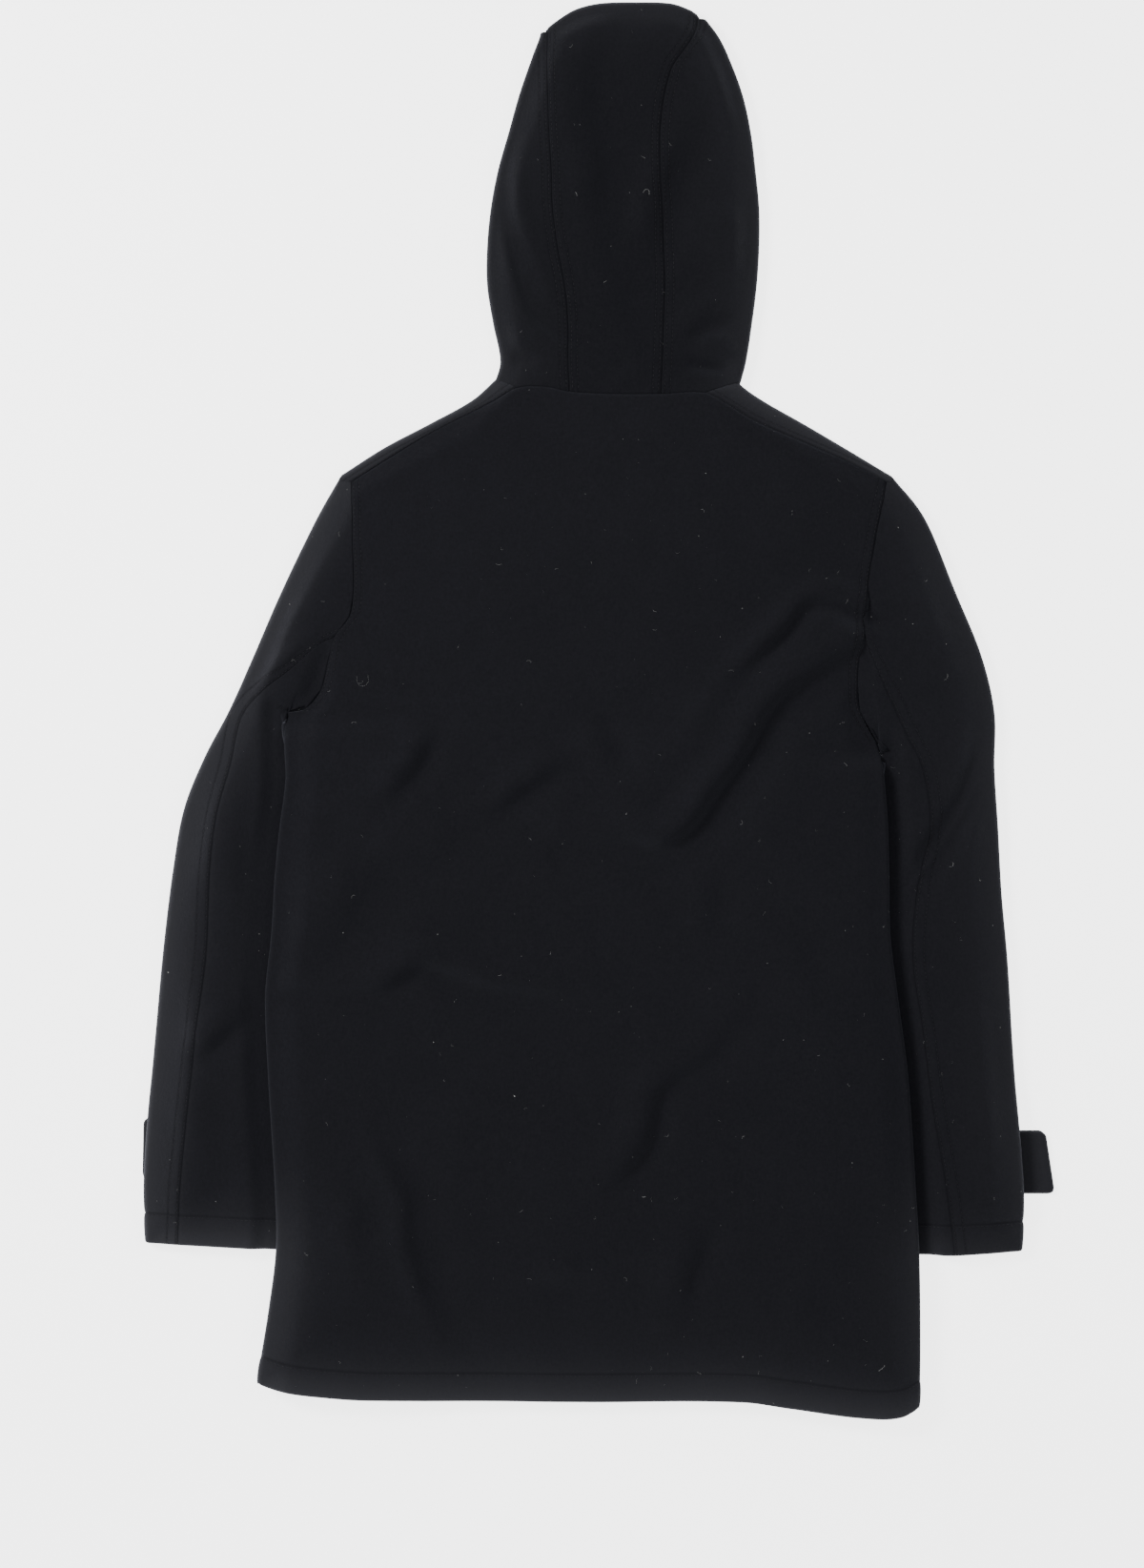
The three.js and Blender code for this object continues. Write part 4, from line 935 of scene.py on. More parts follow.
@dataclass
class Sleeve:
    """A two-piece sleeve with its seams above and below each other, and its cuff tab."""

    side: Side
    hem_band: float = 26.0
    fold_steps: int = 12
    tab_margin: float = 3.0
    tab_ramp: float = 42.0
    tab_thickness: float = 4.0
    tab_corner: float = 6.0  # radius
    tab_soft_edge: float = 1.7
    tab_stitching: float = 8.5  # from the edge
    tab_clearance: float = 0.3  # above the tab

    def __post_init__(self) -> None:
        """Makes the functions that run down the sleeve."""
        table = SLEEVES[self.side]
        self.curves = {name: table.curve("row", name) for name in table.names}
        self.rings = spread([(0, 1, 22), (1, 3, 30), (3, 5, 40), (5, 11.4, 118), (11.4, 11.92, 12),
                             (11.92, 12, 6)])

    @property
    def tab_box(self) -> tuple[float, float, float, float]:
        """Lowest and highest x, then y, of the tab."""
        corners = TABS[self.side]
        return (corners["x"].min(), corners["x"].max(), corners["y"].min(), corners["y"].max())

    def tab_lift(self, x: Array, y: Array) -> Array:
        """Height of the sleeve's underside where it lies on its tab."""
        x0, x1, y0, y1 = self.tab_box
        away = np.hypot(np.maximum(np.maximum(x0 - x, x - x1), 0),
                        np.maximum(np.maximum(y0 - y, y - y1), 0))
        share = 1 - smoothstep(away, self.tab_margin, self.tab_margin + self.tab_ramp)
        return (self.tab_thickness + self.tab_clearance) * share

    def point(self, name: str, t: Array) -> Array:
        """Points of an edge or the seam at rings."""
        x, y = self.curves[name + "X"](t), self.curves[name + "Y"](t)
        return np.stack([x, y, np.zeros_like(x)], axis=-1)

    def edge(self, name: str, t: Array) -> tuple[Array, Array, Array, float]:
        """An edge's fold at rings.

        Args:
            name: outer or inner.
            t: the rings.

        Returns:
            The edge's points, the fold's ways out, the points where the fold begins, its radius.
        """
        outer = name == "outer"
        radius = SLEEVE_ROLL if outer else INNER_ROLL
        edge, seam = self.point(name, t), self.point("seam", t)
        step = unit(self.point(name, t + 0.2) - self.point(name, t - 0.2))
        way = np.stack([step[..., 1], -step[..., 0], 0 * step[..., 0]], -1)
        bodyward = -self.side.inward if outer else self.side.inward
        way = way * np.where(way[..., :1] * bodyward < 0, -1, 1)
        first = np.array([0.0, 1.0, 0.0]) if outer else unit(edge - seam)
        turn = 1 - smoothstep(t, 0, 0.8 if outer else 3.5)[..., None]
        way = unit(lerp(way, first, turn))
        return edge, way, edge - way * radius, radius

    def height(self, t: Array, x: Array, y: Array) -> Array:
        """Top of the sleeve: level with its folds, low where the body lies on it."""
        flat = BODY_STACK + Relief.at(x, y)
        levels = []
        for name in ("outer", "inner"):
            edge, _, _, radius = self.edge(name, t)
            inside = np.hypot(x - edge[:, None, 0], y - edge[:, None, 1]) - radius
            levels.append(lerp(2 * radius, flat, smoothstep(inside, 0, EDGE_BLEND)))
        open_top = np.minimum(*levels)
        outside = (side_of[self.side](y) - x) * self.side.inward
        share = smoothstep(outside, NESTLE, NESTLE + NESTLE_RAMP)
        clear = lerp(SLEEVE_STACK, open_top, share)
        near = lift_share(self.side, y - LIFT_LENGTH)
        return lerp(open_top, clear, near) + self.tab_lift(x, y)

    def panel(self, name: str, start: Array, count: int, on_top: bool) -> tuple[Array, Array]:
        """The wall between the seam and an edge's fold, above or below.

        Args:
            name: outer or inner.
            start: points of the armhole from the seam to where the fold begins.
            count: steps across.
            on_top: above or below.

        Returns:
            The points and the ways out, seam first.
        """
        t = self.rings
        shares = np.linspace(0, 1, count + 1)
        foot = self.edge(name, t)[2]
        seam = self.point("seam", t)
        straight = lerp(seam[:, None], foot[:, None], shares[None, :, None])
        first = along(start, shares)
        blend = 3.5 if name == "outer" else 1.0
        joined = (1 - smoothstep(t, 0, blend))[:, None, None]
        spots = straight + (first - straight[0])[None] * joined
        x, y = spots[..., 0], spots[..., 1]
        if not on_top:
            z = self.tab_lift(x, y)
            return stack(x, y, z), np.broadcast_to(DOWN, (*x.shape, 3))
        z = self.height(t, x, y)
        own = first[:, 2] - z[0]
        z = z + own[None] * (1 - smoothstep(t, 0, 1.6))[:, None]
        return stack(x, y, z), np.broadcast_to(UP, (*x.shape, 3))

    def piece(self, name: str, armhole: Array, counts: tuple[int, int]) -> Surface:
        """One piece: from the seam below, round an edge, to the seam on top.

        Args:
            name: outer or inner, the edge that it goes round.
            armhole: the armhole's points, shoulder first.
            counts: steps across below and on top.

        Returns:
            Its outside.
        """
        t = self.rings
        edge, way, foot, radius = self.edge(name, t)
        if name == "outer":
            turn = np.append(foot[0, :2], 2 * radius)[None]
            top_start = np.concatenate([armhole[SEAM_ROW::-1], turn])
            low_start = np.concatenate([armhole[SEAM_ROW:0:-1], turn])
        else:
            top_start = low_start = armhole[SEAM_ROW:]
        low, low_out = self.panel(name, low_start, counts[0], False)
        top, top_out = self.panel(name, top_start, counts[1], True)
        angle = np.linspace(-math.pi / 2, math.pi / 2, self.fold_steps + 1)[None, :]
        base = self.tab_lift(edge[:, 0], edge[:, 1])[:, None]
        reach = radius * (np.cos(angle) - 1)[..., None]
        fold = edge[:, None] + way[:, None] * reach
        fold[..., 2] = base + radius * (1 + np.sin(angle))
        fold_out = way[:, None] * np.cos(angle)[..., None] + UP * np.sin(angle)[..., None]
        at = np.concatenate([low[:, :-1], fold, top[:, -2::-1]], axis=1)
        out = np.concatenate([low_out[:, :-1], fold_out, top_out[:, -2::-1]], axis=1)
        surface = Surface(at, out)
        sides = [(Border.START, slice(None)), (Border.END, slice(None))]
        surface.sewn = surface.nearest([*sides, (Border.FIRST, slice(None))])
        if name == "outer":
            surface.stitched = surface.nearest(sides)
        surface.hemmed = surface.gap(Border.LAST)
        rim = self.edge("outer", t)[0][:, None]
        across = np.hypot(at[..., 0] - rim[..., 0], at[..., 1] - rim[..., 1])
        surface.edged = np.minimum(surface.hemmed, across)
        return surface

    def tab(self) -> bpy.types.Object:
        """The strap at the cuff: a doubled strip with its corners rounded and edges softened."""
        corners = TABS[self.side]
        spots = np.stack([corners["x"], corners["y"]], 1)
        bm = bmesh.new()
        bmesh.ops.create_grid(bm, x_segments=30, y_segments=28, size=0.5)
        for vert in bm.verts:
            u, v = vert.co.x + 0.5, 0.5 - vert.co.y
            top = lerp(spots[0], spots[1], u)
            low = lerp(spots[3], spots[2], u)
            place = lerp(top, low, v)
            vert.co = (place[0], place[1], 0)
        layers = [bm.verts.layers.float.new(word) for word in ("sewn", "stitched", "hemmed")]
        bmesh.ops.solidify(bm, geom=bm.faces[:], thickness=self.tab_thickness)
        levels = [vert.co.z for vert in bm.verts]
        middle = (min(levels) + max(levels)) / 2
        for vert in bm.verts:
            place, gap = self.tab_place(spots, np.array(vert.co[:2]))
            on_top = vert.co.z > middle
            z = self.tab_thickness / 2 + (1 if on_top else -1) * self.tab_rise(gap, on_top)
            for layer in layers:
                vert[layer] = FAR
            vert.co = ((place[0] + ORIGIN[0]) * MM, (place[1] + ORIGIN[1]) * MM, z * MM)
        bmesh.ops.recalc_face_normals(bm, faces=bm.faces)
        bm.verts.index_update()
        count = len(bm.verts)
        bm.faces.sort(key=lambda face: self.face_rank(face, count))
        return smooth_object(f"cuff_tab_{self.side.word}_cloth", bm)

    @staticmethod
    def face_rank(face: bmesh.types.BMFace, count: int) -> float:
        """Place of a face in an order that is the same at every run.

        Args:
            face: a face of a mesh whose points are numbered.
            count: how many points the mesh has.

        Returns:
            Its rank, from the numbers of its points.
        """
        rank = 0.0
        for number in sorted(vert.index for vert in face.verts):
            rank = rank * count + number
        return rank

    def tab_place(self, spots: Array, place: Array) -> tuple[Array, float]:
        """Where a point of the tab lies once its corners are rounded.

        Args:
            spots: the tab's corners, hidden end first.
            place: the point.

        Returns:
            The new place, and the distance from the nearest edge that shows.
        """
        centre = spots.mean(axis=0)
        gaps = []
        for start, stop in zip(spots, spots[1:]):
            step = (stop - start) / np.linalg.norm(stop - start)
            normal = np.array([step[1], -step[0]])
            if normal @ (centre - start) < 0:
                normal = -normal
            gaps.append((float((place - start) @ normal), normal))
        (gap, normal), (next_gap, next_normal) = sorted(gaps, key=lambda pair: pair[0])[:2]
        if gap < self.tab_corner and next_gap < self.tab_corner:
            a, b = self.tab_corner - gap, self.tab_corner - next_gap
            reach = math.hypot(a, b)
            if reach > 0:
                pull = 1 - max(a, b) / reach
                place = place + normal * a * pull + next_normal * b * pull
        return place, gap

    def tab_rise(self, gap: float, on_top: bool) -> float:
        """How far the tab's surface stands from its middle, at a distance from the edge."""
        fall = 1 - min(gap / self.tab_soft_edge, 1)
        rise = self.tab_thickness / 2 * math.sqrt(max(1 - fall ** 2, 0.12))
        if on_top:
            rise += 0.35 * math.sin(math.pi * min(gap / self.tab_stitching, 1))
            rise -= 0.3 * math.exp(-((gap - self.tab_stitching) / 1.6) ** 2)
        return rise


# ---- Hood ---------------------------------------------------------------------------------


@dataclass
class Hood:
    """The three-piece hood: a centre strip over the crown and a side on each hand."""

    wrap: float = 34.0  # how far the strip comes round to the underside
    crown_turn: float = 0.86  # from here on the seams run to the crown's corners
    corners: dict[Side, tuple[float, float]] = field(
        default_factory=lambda: {Side.LEFT: (-88.0, 272.0), Side.RIGHT: (118.0, 271.0)})
    face: dict[Side, float] = field(default_factory=lambda: {Side.LEFT: -6.0, Side.RIGHT: 24.0})
    face_turn: tuple[float, float] = (470.0, 520.0)
    fold_steps: int = 12

    def stations(self, end: float) -> Array:
        """Shares of the way from the neck to the crown."""
        return spread([(0, 0.02, 5), (0.02, 0.3, 42), (0.3, end - 0.05, 70), (end - 0.05, end, 12)])

    def crown(self, side: Side) -> tuple[float, float]:
        """Where the strip's seam reaches the crown."""
        i = 0 if side is Side.LEFT else -1
        return float(CROWN["x"][i]), float(CROWN["y"][i])

    def height(self, x: Array, y: Array) -> Array:
        """Top of the hood: level with the fold round it, higher inside."""
        flat = BODY_STACK + Relief.at(x, y) + sum(hollow.rise(x, y) for hollow in HOLLOWS)
        inside = np.minimum(x - hood_of["left"](y), hood_of["right"](y) - x)
        inside = np.minimum(inside, crown_of(x) - y) - HOOD_ROLL
        return lerp(2 * HOOD_ROLL, flat, smoothstep(inside, 0, HOOD_BLEND))

    def seam(self, neck_y: float, side: Side, v: Array) -> tuple[Array, Array]:
        """Where a seam of the strip passes each station."""
        crown_x, crown_y = self.crown(side)
        y = lerp(neck_y, crown_y - HOOD_ROLL, v)
        x = lerp(hood_of[side.word + "Seam"](y), crown_x, smoothstep(v, self.crown_turn, 1))
        return x, y

    @staticmethod
    def blended(first: Array, rows: Array, share: Array, height: Callable[[Array, Array], Array],
                way: Array) -> tuple[Array, Array]:
        """Puts straight rows on the first row's points, less and less further up.

        Args:
            first: points that the first row has to pass.
            rows: straight rows, x and y.
            share: how far each row follows the first.
            height: of the cloth.
            way: the way out.

        Returns:
            The points and the ways out.
        """
        share = share[:, None]
        x = rows[..., 0] + (first[:, 0] - rows[0, :, 0]) * share
        y = rows[..., 1] + (first[:, 1] - rows[0, :, 1]) * share
        own = first[:, 2] - height(first[:, 0], first[:, 1])
        z = height(x, y) + own * share
        return stack(x, y, z), np.broadcast_to(way, (*x.shape, 3))

    def side(self, side: Side, back: Surface, stops: list[int]) -> Surface:
        """A side: from the strip's seam, round the edge, to the face opening."""
        top_row = back.at[-1]
        if side is Side.LEFT:
            neck = top_row[stops[0]:stops[1] + 1][::-1]
        else:
            neck = top_row[stops[2]:stops[3] + 1]
        corner_x, corner_y = self.corners[side]
        v = self.stations(1.0)
        edge_y = lerp(corner_y, self.crown(side)[1] - HOOD_ROLL, v)
        edge_x = np.where(v > 0, hood_of[side.word](edge_y), corner_x)
        foot = np.stack([edge_x + side.inward * HOOD_ROLL, edge_y], -1)
        run = smoothstep(edge_y, *self.face_turn)
        crown_x = self.crown(side)[0] - side.inward * 0.3
        face = np.stack([lerp(self.face[side], crown_x, run), edge_y], -1)
        seam = np.stack(self.seam(neck[0][1], side, v), -1)
        top_shares = np.linspace(0, 1, 37)[None, :, None]
        low_shares = np.linspace(0, 1, 25)[None, :, None]
        over = lerp(seam[:, None], foot[:, None], top_shares)
        under = lerp(foot[:, None], face[:, None], low_shares)
        places = np.append(np.linspace(0, 0.75, len(neck)), 1.0)
        spots = np.vstack([neck, [*foot[0], 2 * HOOD_ROLL]])
        first = np.stack([np.interp(top_shares[0, :, 0], places, spots[:, k])
                          for k in range(3)], -1)
        line = NECKLINES[side]
        low = along(np.stack([line["x"], line["y"], 0 * line["x"]], 1), low_shares[0, :, 0])
        top, top_out = self.blended(first, over, 1 - smoothstep(v, 0, 0.35), self.height, UP)
        flat = lambda x, y: 0 * x
        bottom, bottom_out = self.blended(low, under, 1 - smoothstep(v, 0, 0.7), flat, DOWN)
        angle = np.linspace(math.pi / 2, -math.pi / 2, self.fold_steps + 1)[None, :]
        level = 0 * edge_x[:, None]
        fold = stack(edge_x[:, None] - side.inward * HOOD_ROLL * (np.cos(angle) - 1),
                     edge_y[:, None], level + HOOD_ROLL * (1 + np.sin(angle)))
        fold_out = stack(level - side.inward * np.cos(angle), 0 * angle, np.sin(angle))
        at = np.concatenate([top[:, :-1], fold, bottom[:, 1:]], axis=1)
        out = np.concatenate([top_out[:, :-1], fold_out, bottom_out[:, 1:]], axis=1)
        surface = Surface(at, out)
        surface.stitched = surface.gap(Border.START)
        surface.sewn = np.minimum(surface.stitched, surface.gap(Border.FIRST))
        surface.edged = surface.from_column(top.shape[1] - 1 + self.fold_steps // 2)
        return surface

    def strip(self, back: Surface, stops: list[int]) -> Surface:
        """The centre strip: up the top, over the crown, a short way back underneath."""
        start = back.at[-1, stops[1]:stops[2] + 1]
        share = np.linspace(0, 1, len(start))[None, :]
        crown_x = lerp(self.crown(Side.LEFT)[0], self.crown(Side.RIGHT)[0], share)
        crown_y = crown_of(crown_x)
        v = self.stations(0.985)[:, None]
        left = self.seam(start[0][1], Side.LEFT, v)[0]
        right = self.seam(start[-1][1], Side.RIGHT, v)[0]
        x = lerp(left, right, share)
        y = lerp(start[None, :, 1], crown_y - HOOD_ROLL, v)
        own = start[None, :, 2] - self.height(start[None, :, 0], start[None, :, 1])
        z = self.height(x, y) + own * (1 - smoothstep(v, 0, 0.35))
        climb = stack(x, y, z)
        angle = np.linspace(math.pi / 2, -math.pi / 2, self.fold_steps + 1)[:, None]
        fold = stack(crown_x, crown_y + HOOD_ROLL * (np.cos(angle) - 1),
                     HOOD_ROLL * (1 + np.sin(angle)))
        fold_out = stack(0 * crown_x, np.cos(angle), np.sin(angle))
        back_in = np.linspace(HOOD_ROLL, self.wrap, 10)[1:, None]
        under = stack(crown_x, crown_y - back_in, 0 * back_in)
        at = np.concatenate([climb, fold, under])
        out = np.concatenate([np.broadcast_to(UP, climb.shape), fold_out,
                              np.broadcast_to(DOWN, under.shape)])
        surface = Surface(at, out)
        surface.stitched = surface.nearest([(Border.START, slice(None)), (Border.END, slice(None))])
        surface.sewn = np.minimum(surface.stitched, surface.gap(Border.FIRST))
        surface.edged = surface.from_row(len(climb) + self.fold_steps // 2)
        return surface


# ---- Sewing and lint ------------------------------------------------------------------------


def mesh_object(name: str, bm: bmesh.types.BMesh) -> bpy.types.Object:
    """Turns a bmesh in millimetres into an object at the origin."""
    bmesh.ops.translate(bm, verts=bm.verts, vec=ORIGIN)
    bmesh.ops.scale(bm, verts=bm.verts, vec=(MM, MM, MM))
    return smooth_object(name, bm)


def strand_object(name: str, strands: Sequence[tuple[Array, Array]], thickness: float,
                  rounding: int = 0) -> bpy.types.Object:
    """Threads or fibres as one mesh.

    Args:
        name: the piece's name.
        strands: points of each strand in millimetres, and its relative thickness at each.
        thickness: radius in millimetres where the relative thickness is 1.
        rounding: bevel resolution of the strands' section.

    Returns:
        The object.
    """
    curve = bpy.data.curves.new(name, "CURVE")
    curve.dimensions = "3D"
    curve.bevel_depth = thickness * MM
    curve.bevel_resolution = rounding
    curve.use_fill_caps = True
    for places, radii in strands:
        spline = curve.splines.new("POLY")
        spline.points.add(len(places) - 1)
        for point, place, radius in zip(spline.points, (places + ORIGIN) * MM, radii):
            point.co = (*place, 1.0)
            point.radius = radius
    holder = linked(name, curve)
    depsgraph = bpy.context.evaluated_depsgraph_get()
    mesh = bpy.data.meshes.new_from_object(holder.evaluated_get(depsgraph))
    bpy.data.objects.remove(holder)
    mesh.name = name
    return linked(name, mesh)


@dataclass
class Sewing:
    """Rows of topstitching: one short bar of thread a stitch, half sunk in the nap."""

    pitch: float = 3.6
    length: float = 2.5
    thickness: float = 0.2
    strands: list[tuple[Array, Array]] = field(default_factory=list)

    def add(self, surface: Surface, border: Border, offset: float,
            part: slice = slice(None)) -> None:
        """Sews a row at an offset from a border of a surface."""
        points, ways = surface.line(border, offset, part)
        steps = np.linalg.norm(np.diff(points, axis=0), axis=1)
        walked = np.concatenate([[0], np.cumsum(steps)])
        starts = np.arange(self.pitch, walked[-1] - self.pitch - self.length, self.pitch)
        shares, depths = (0, 0.3, 0.7, 1), (-0.12, 0.1, 0.1, -0.12)
        spots = starts[:, None] + self.length * np.array(shares)
        at, way = (np.stack([np.interp(spots, walked, values[:, k]) for k in range(3)], -1)
                   for values in (points, ways))
        at = at + unit(way) * np.array(depths)[:, None]
        self.strands += [(stitch, (0.7, 1, 1, 0.7)) for stitch in at]

    def build(self, name: str) -> bpy.types.Object:
        """Makes the rows as one object."""
        return strand_object(name, self.strands, self.thickness)


@dataclass
class Lint:
    """White fibres and specks caught in the nap."""

    fibres: int = 210
    specks: int = 120
    dust: int = 380
    seed: int = 41

    def top(self, x: float, y: float) -> Vector | None:
        """Highest cloth over a place in the tables."""
        start = Vector(((x + ORIGIN[0]) * MM, (y + ORIGIN[1]) * MM, 0.2))
        depsgraph = bpy.context.evaluated_depsgraph_get()
        hit, place, *_ = bpy.context.scene.ray_cast(depsgraph, start, Vector((0, 0, -1)))
        if not hit or place.z < 4 * MM:
            return None
        return place / MM - Vector(ORIGIN)

    def strand(self, x: float, y: float, length: float, angle: float, bend: float,
               thick: float) -> tuple[Array, Array] | None:
        """A bent fibre on the cloth, through its middle point."""
        shares = np.linspace(-0.5, 0.5, 7)
        spots = []
        for share in shares:
            turn = angle + bend * share
            step = length * share
            found = self.top(x + math.cos(turn) * step, y + math.sin(turn) * step)
            if found is None:
                return None
            rise = 0.15 + 0.5 * max(0.0, abs(share) - 0.3)
            spots.append(np.array(found) + UP * rise)
        return np.array(spots), np.full(len(shares), thick)

    def build(self, placed: Sequence[tuple[float, ...]]) -> list[bpy.types.Object]:
        """Scatters the lint.

        Args:
            placed: x, y, length, angle, bend and thickness of the fibres that have a set place.

        Returns:
            The fibres and the specks.
        """
        chance = np.random.default_rng(self.seed)
        strands = [self.strand(*values) for values in placed]
        for _ in range(self.fibres):
            x, y = chance.uniform(-380, 350), chance.uniform(-590, 590)
            length = 1.4 + 3.4 * chance.random() ** 2
            strands.append(self.strand(x, y, length, chance.uniform(0, math.pi),
                                       chance.uniform(-1.6, 1.6), chance.uniform(0.25, 0.6)))
        laid = [strand for strand in strands if strand is not None]
        bm = bmesh.new()
        for i in range(self.specks + self.dust):
            x, y = chance.uniform(-385, 360), chance.uniform(-592, 592)
            found = self.top(x, y)
            if found is None:
                continue
            big = i < self.specks
            size = chance.uniform(0.13, 0.26) if big else chance.uniform(0.06, 0.12)
            if chance.random() < 0.04:
                size *= 1.7
            turn = Matrix.Rotation(chance.uniform(0, math.pi), 4, "Z")
            shape = Matrix.Diagonal((size * chance.uniform(0.8, 2.2), size, size * 0.5, 1))
            place = Matrix.Translation(found + Vector((0, 0, 0.12)))
            bmesh.ops.create_icosphere(bm, subdivisions=1, radius=1.0, matrix=place @ turn @ shape)
        return [strand_object("lint_fibres", laid, 0.07), mesh_object("lint_specks", bm)]


# ---- Finishes ---------------------------------------------------------------------------------


class Nodes:
    """Adds nodes to a tree and links them, from left to right."""

    def __init__(self, tree: bpy.types.NodeTree) -> None:
        """Keeps the tree."""
        self.tree = tree

    def add(self, kind: str, inputs: dict[str | int, object] | None = None,
            **settings: object) -> bpy.types.Node:
        """A node with its settings, and its inputs set or linked."""
        node = self.tree.nodes.new(kind)
        for key, value in settings.items():
            setattr(node, key, value)
        for key, value in (inputs or {}).items():
            if isinstance(value, bpy.types.NodeSocket):
                self.tree.links.new(value, node.inputs[key])
            else:
                node.inputs[key].default_value = value
        return node

    def math(self, operation: str, *values: object) -> bpy.types.NodeSocket:
        """The result of a sum on values or sockets."""
        return self.add("ShaderNodeMath", dict(enumerate(values)), operation=operation).outputs[0]

    def noise(self, place: bpy.types.NodeSocket, scale: float, detail: float = 2.0,
              rough: float = 0.5) -> bpy.types.NodeSocket:
        """Soft noise from 0 to 1."""
        return self.add("ShaderNodeTexNoise", {"Vector": place, "Scale": scale, "Detail": detail,
                                               "Roughness": rough}).outputs["Fac"]

    def bump_line(self, gap: bpy.types.NodeSocket, at: float, width: float) -> bpy.types.NodeSocket:
        """1 where a distance has a value, falling off to both sides."""
        away = self.math("DIVIDE", self.math("SUBTRACT", gap, at), width)
        return self.math("EXPONENT", self.math("MULTIPLY", self.math("MULTIPLY", away, away), -1.0))


def new_group(name: str, inputs: Sequence[tuple[str, str, object]],
              outputs: Sequence[tuple[str, str]]) -> tuple[bpy.types.NodeTree, Nodes]:
    """An empty node group with its sockets.

    Args:
        name: of the group.
        inputs: name, kind and first value of each input.
        outputs: name and kind of each output.

    Returns:
        The group and its nodes.
    """
    tree = bpy.data.node_groups.new(name, "ShaderNodeTree")
    for word, kind, value in inputs:
        socket = tree.interface.new_socket(word, in_out="INPUT", socket_type=kind)
        socket.default_value = value
    for word, kind in outputs:
        tree.interface.new_socket(word, in_out="OUTPUT", socket_type=kind)
    return tree, Nodes(tree)


def nap_group() -> bpy.types.NodeTree:
    """Raised nap of milled wool: colour, height in millimetres and roughness."""
    tree, nodes = new_group(
        "milled_nap",
        [("Ground", "NodeSocketColor", (0, 0, 0, 1)), ("Tips", "NodeSocketColor", (0, 0, 0, 1)),
         ("Depth", "NodeSocketFloat", 0.3)],
        [("Color", "NodeSocketColor"), ("Height", "NodeSocketFloat"),
         ("Roughness", "NodeSocketFloat")])
    given = nodes.add("NodeGroupInput").outputs
    place = nodes.add("ShaderNodeTexCoord").outputs["Object"]
    clump = nodes.noise(place, 420.0, 3.0, 0.6)
    grain = nodes.noise(place, 1300.0, 2.0, 0.7)
    streaks = []
    for angle, pitch in ((0.5, 1500.0), (2.2, 1300.0)):
        turned = nodes.add("ShaderNodeMapping", {"Vector": place, "Rotation": (0, 0, angle),
                                                 "Scale": (pitch, pitch / 7, pitch)})
        streaks.append(nodes.noise(turned.outputs[0], 1.0, 1.0))
    fibres = nodes.math("MAXIMUM", *streaks)
    cloud = nodes.noise(place, 22.0, 3.0, 0.55)
    patch = nodes.noise(place, 60.0, 4.0, 0.6)
    height = nodes.math("ADD", nodes.math("MULTIPLY", clump, 0.9),
                        nodes.math("ADD", nodes.math("MULTIPLY", grain, 0.25),
                                   nodes.math("MULTIPLY", fibres, 0.45)))
    tips = nodes.math("ADD", nodes.math("MULTIPLY", height, 0.75),
                      nodes.math("ADD", nodes.math("MULTIPLY", cloud, 0.22),
                                 nodes.math("MULTIPLY", patch, 0.16)))
    share = nodes.add("ShaderNodeMapRange", {"Value": tips, "From Min": 0.45, "From Max": 1.25})
    color = nodes.add("ShaderNodeMix", {"Factor": share.outputs[0], "A": given["Ground"],
                                        "B": given["Tips"]}, data_type="RGBA")
    rough = nodes.add("ShaderNodeMapRange", {"Value": height, "From Min": 0.5, "From Max": 1.1,
                                             "To Min": 1.0, "To Max": 0.82})
    nodes.add("NodeGroupOutput", {
        "Color": color.outputs["Result"],
        "Height": nodes.math("MULTIPLY", height, given["Depth"]),
        "Roughness": rough.outputs[0]})
    return tree


HIGHLIGHT_REACH = 19.0  # how far in from the outline the painted edge highlight fades, in millimetres


def seam_group() -> bpy.types.NodeTree:
    """Seams, topstitching and hem: height in millimetres, and masks of the painted shade in them
    and of the painted highlight along the outline.
    """
    tree, nodes = new_group(
        "sewn_lines",
        [("First row", "NodeSocketFloat", 1.8), ("Second row", "NodeSocketFloat", 7.0),
         ("Hem row", "NodeSocketFloat", 24.0)],
        [("Height", "NodeSocketFloat"), ("Shade", "NodeSocketFloat"),
         ("Edge highlight", "NodeSocketFloat")])
    given = nodes.add("NodeGroupInput").outputs
    gaps = {word: nodes.add("ShaderNodeAttribute", attribute_name=word).outputs["Fac"]
            for word in MARKS}
    seam = nodes.bump_line(gaps["sewn"], 0.0, 0.9)
    rows = [nodes.math("SUBTRACT", gaps["stitched"], given[name])
            for name in ("First row", "Second row")]
    rows.append(nodes.math("SUBTRACT", gaps["hemmed"], given["Hem row"]))
    dents = nodes.bump_line(rows[0], 0.0, 0.8)
    for row in rows[1:]:
        dents = nodes.math("MAXIMUM", dents, nodes.bump_line(row, 0.0, 0.9))
    depth = nodes.math("ADD", nodes.math("MULTIPLY", seam, 0.22),
                       nodes.math("MULTIPLY", dents, 0.19))
    # Painted shade: the seams' grooves and the stitch rows' dents are drawn darker.
    shade = nodes.math("MINIMUM", nodes.math("MULTIPLY", depth, 1.4), 1.0)
    # painted highlight that fades in from the coat's outline
    near = nodes.math("EXPONENT", nodes.math("DIVIDE", gaps["edged"], -HIGHLIGHT_REACH))
    nodes.add("NodeGroupOutput", {"Height": nodes.math("MULTIPLY", depth, -1.0),
                                  "Shade": shade, "Edge highlight": near})
    return tree


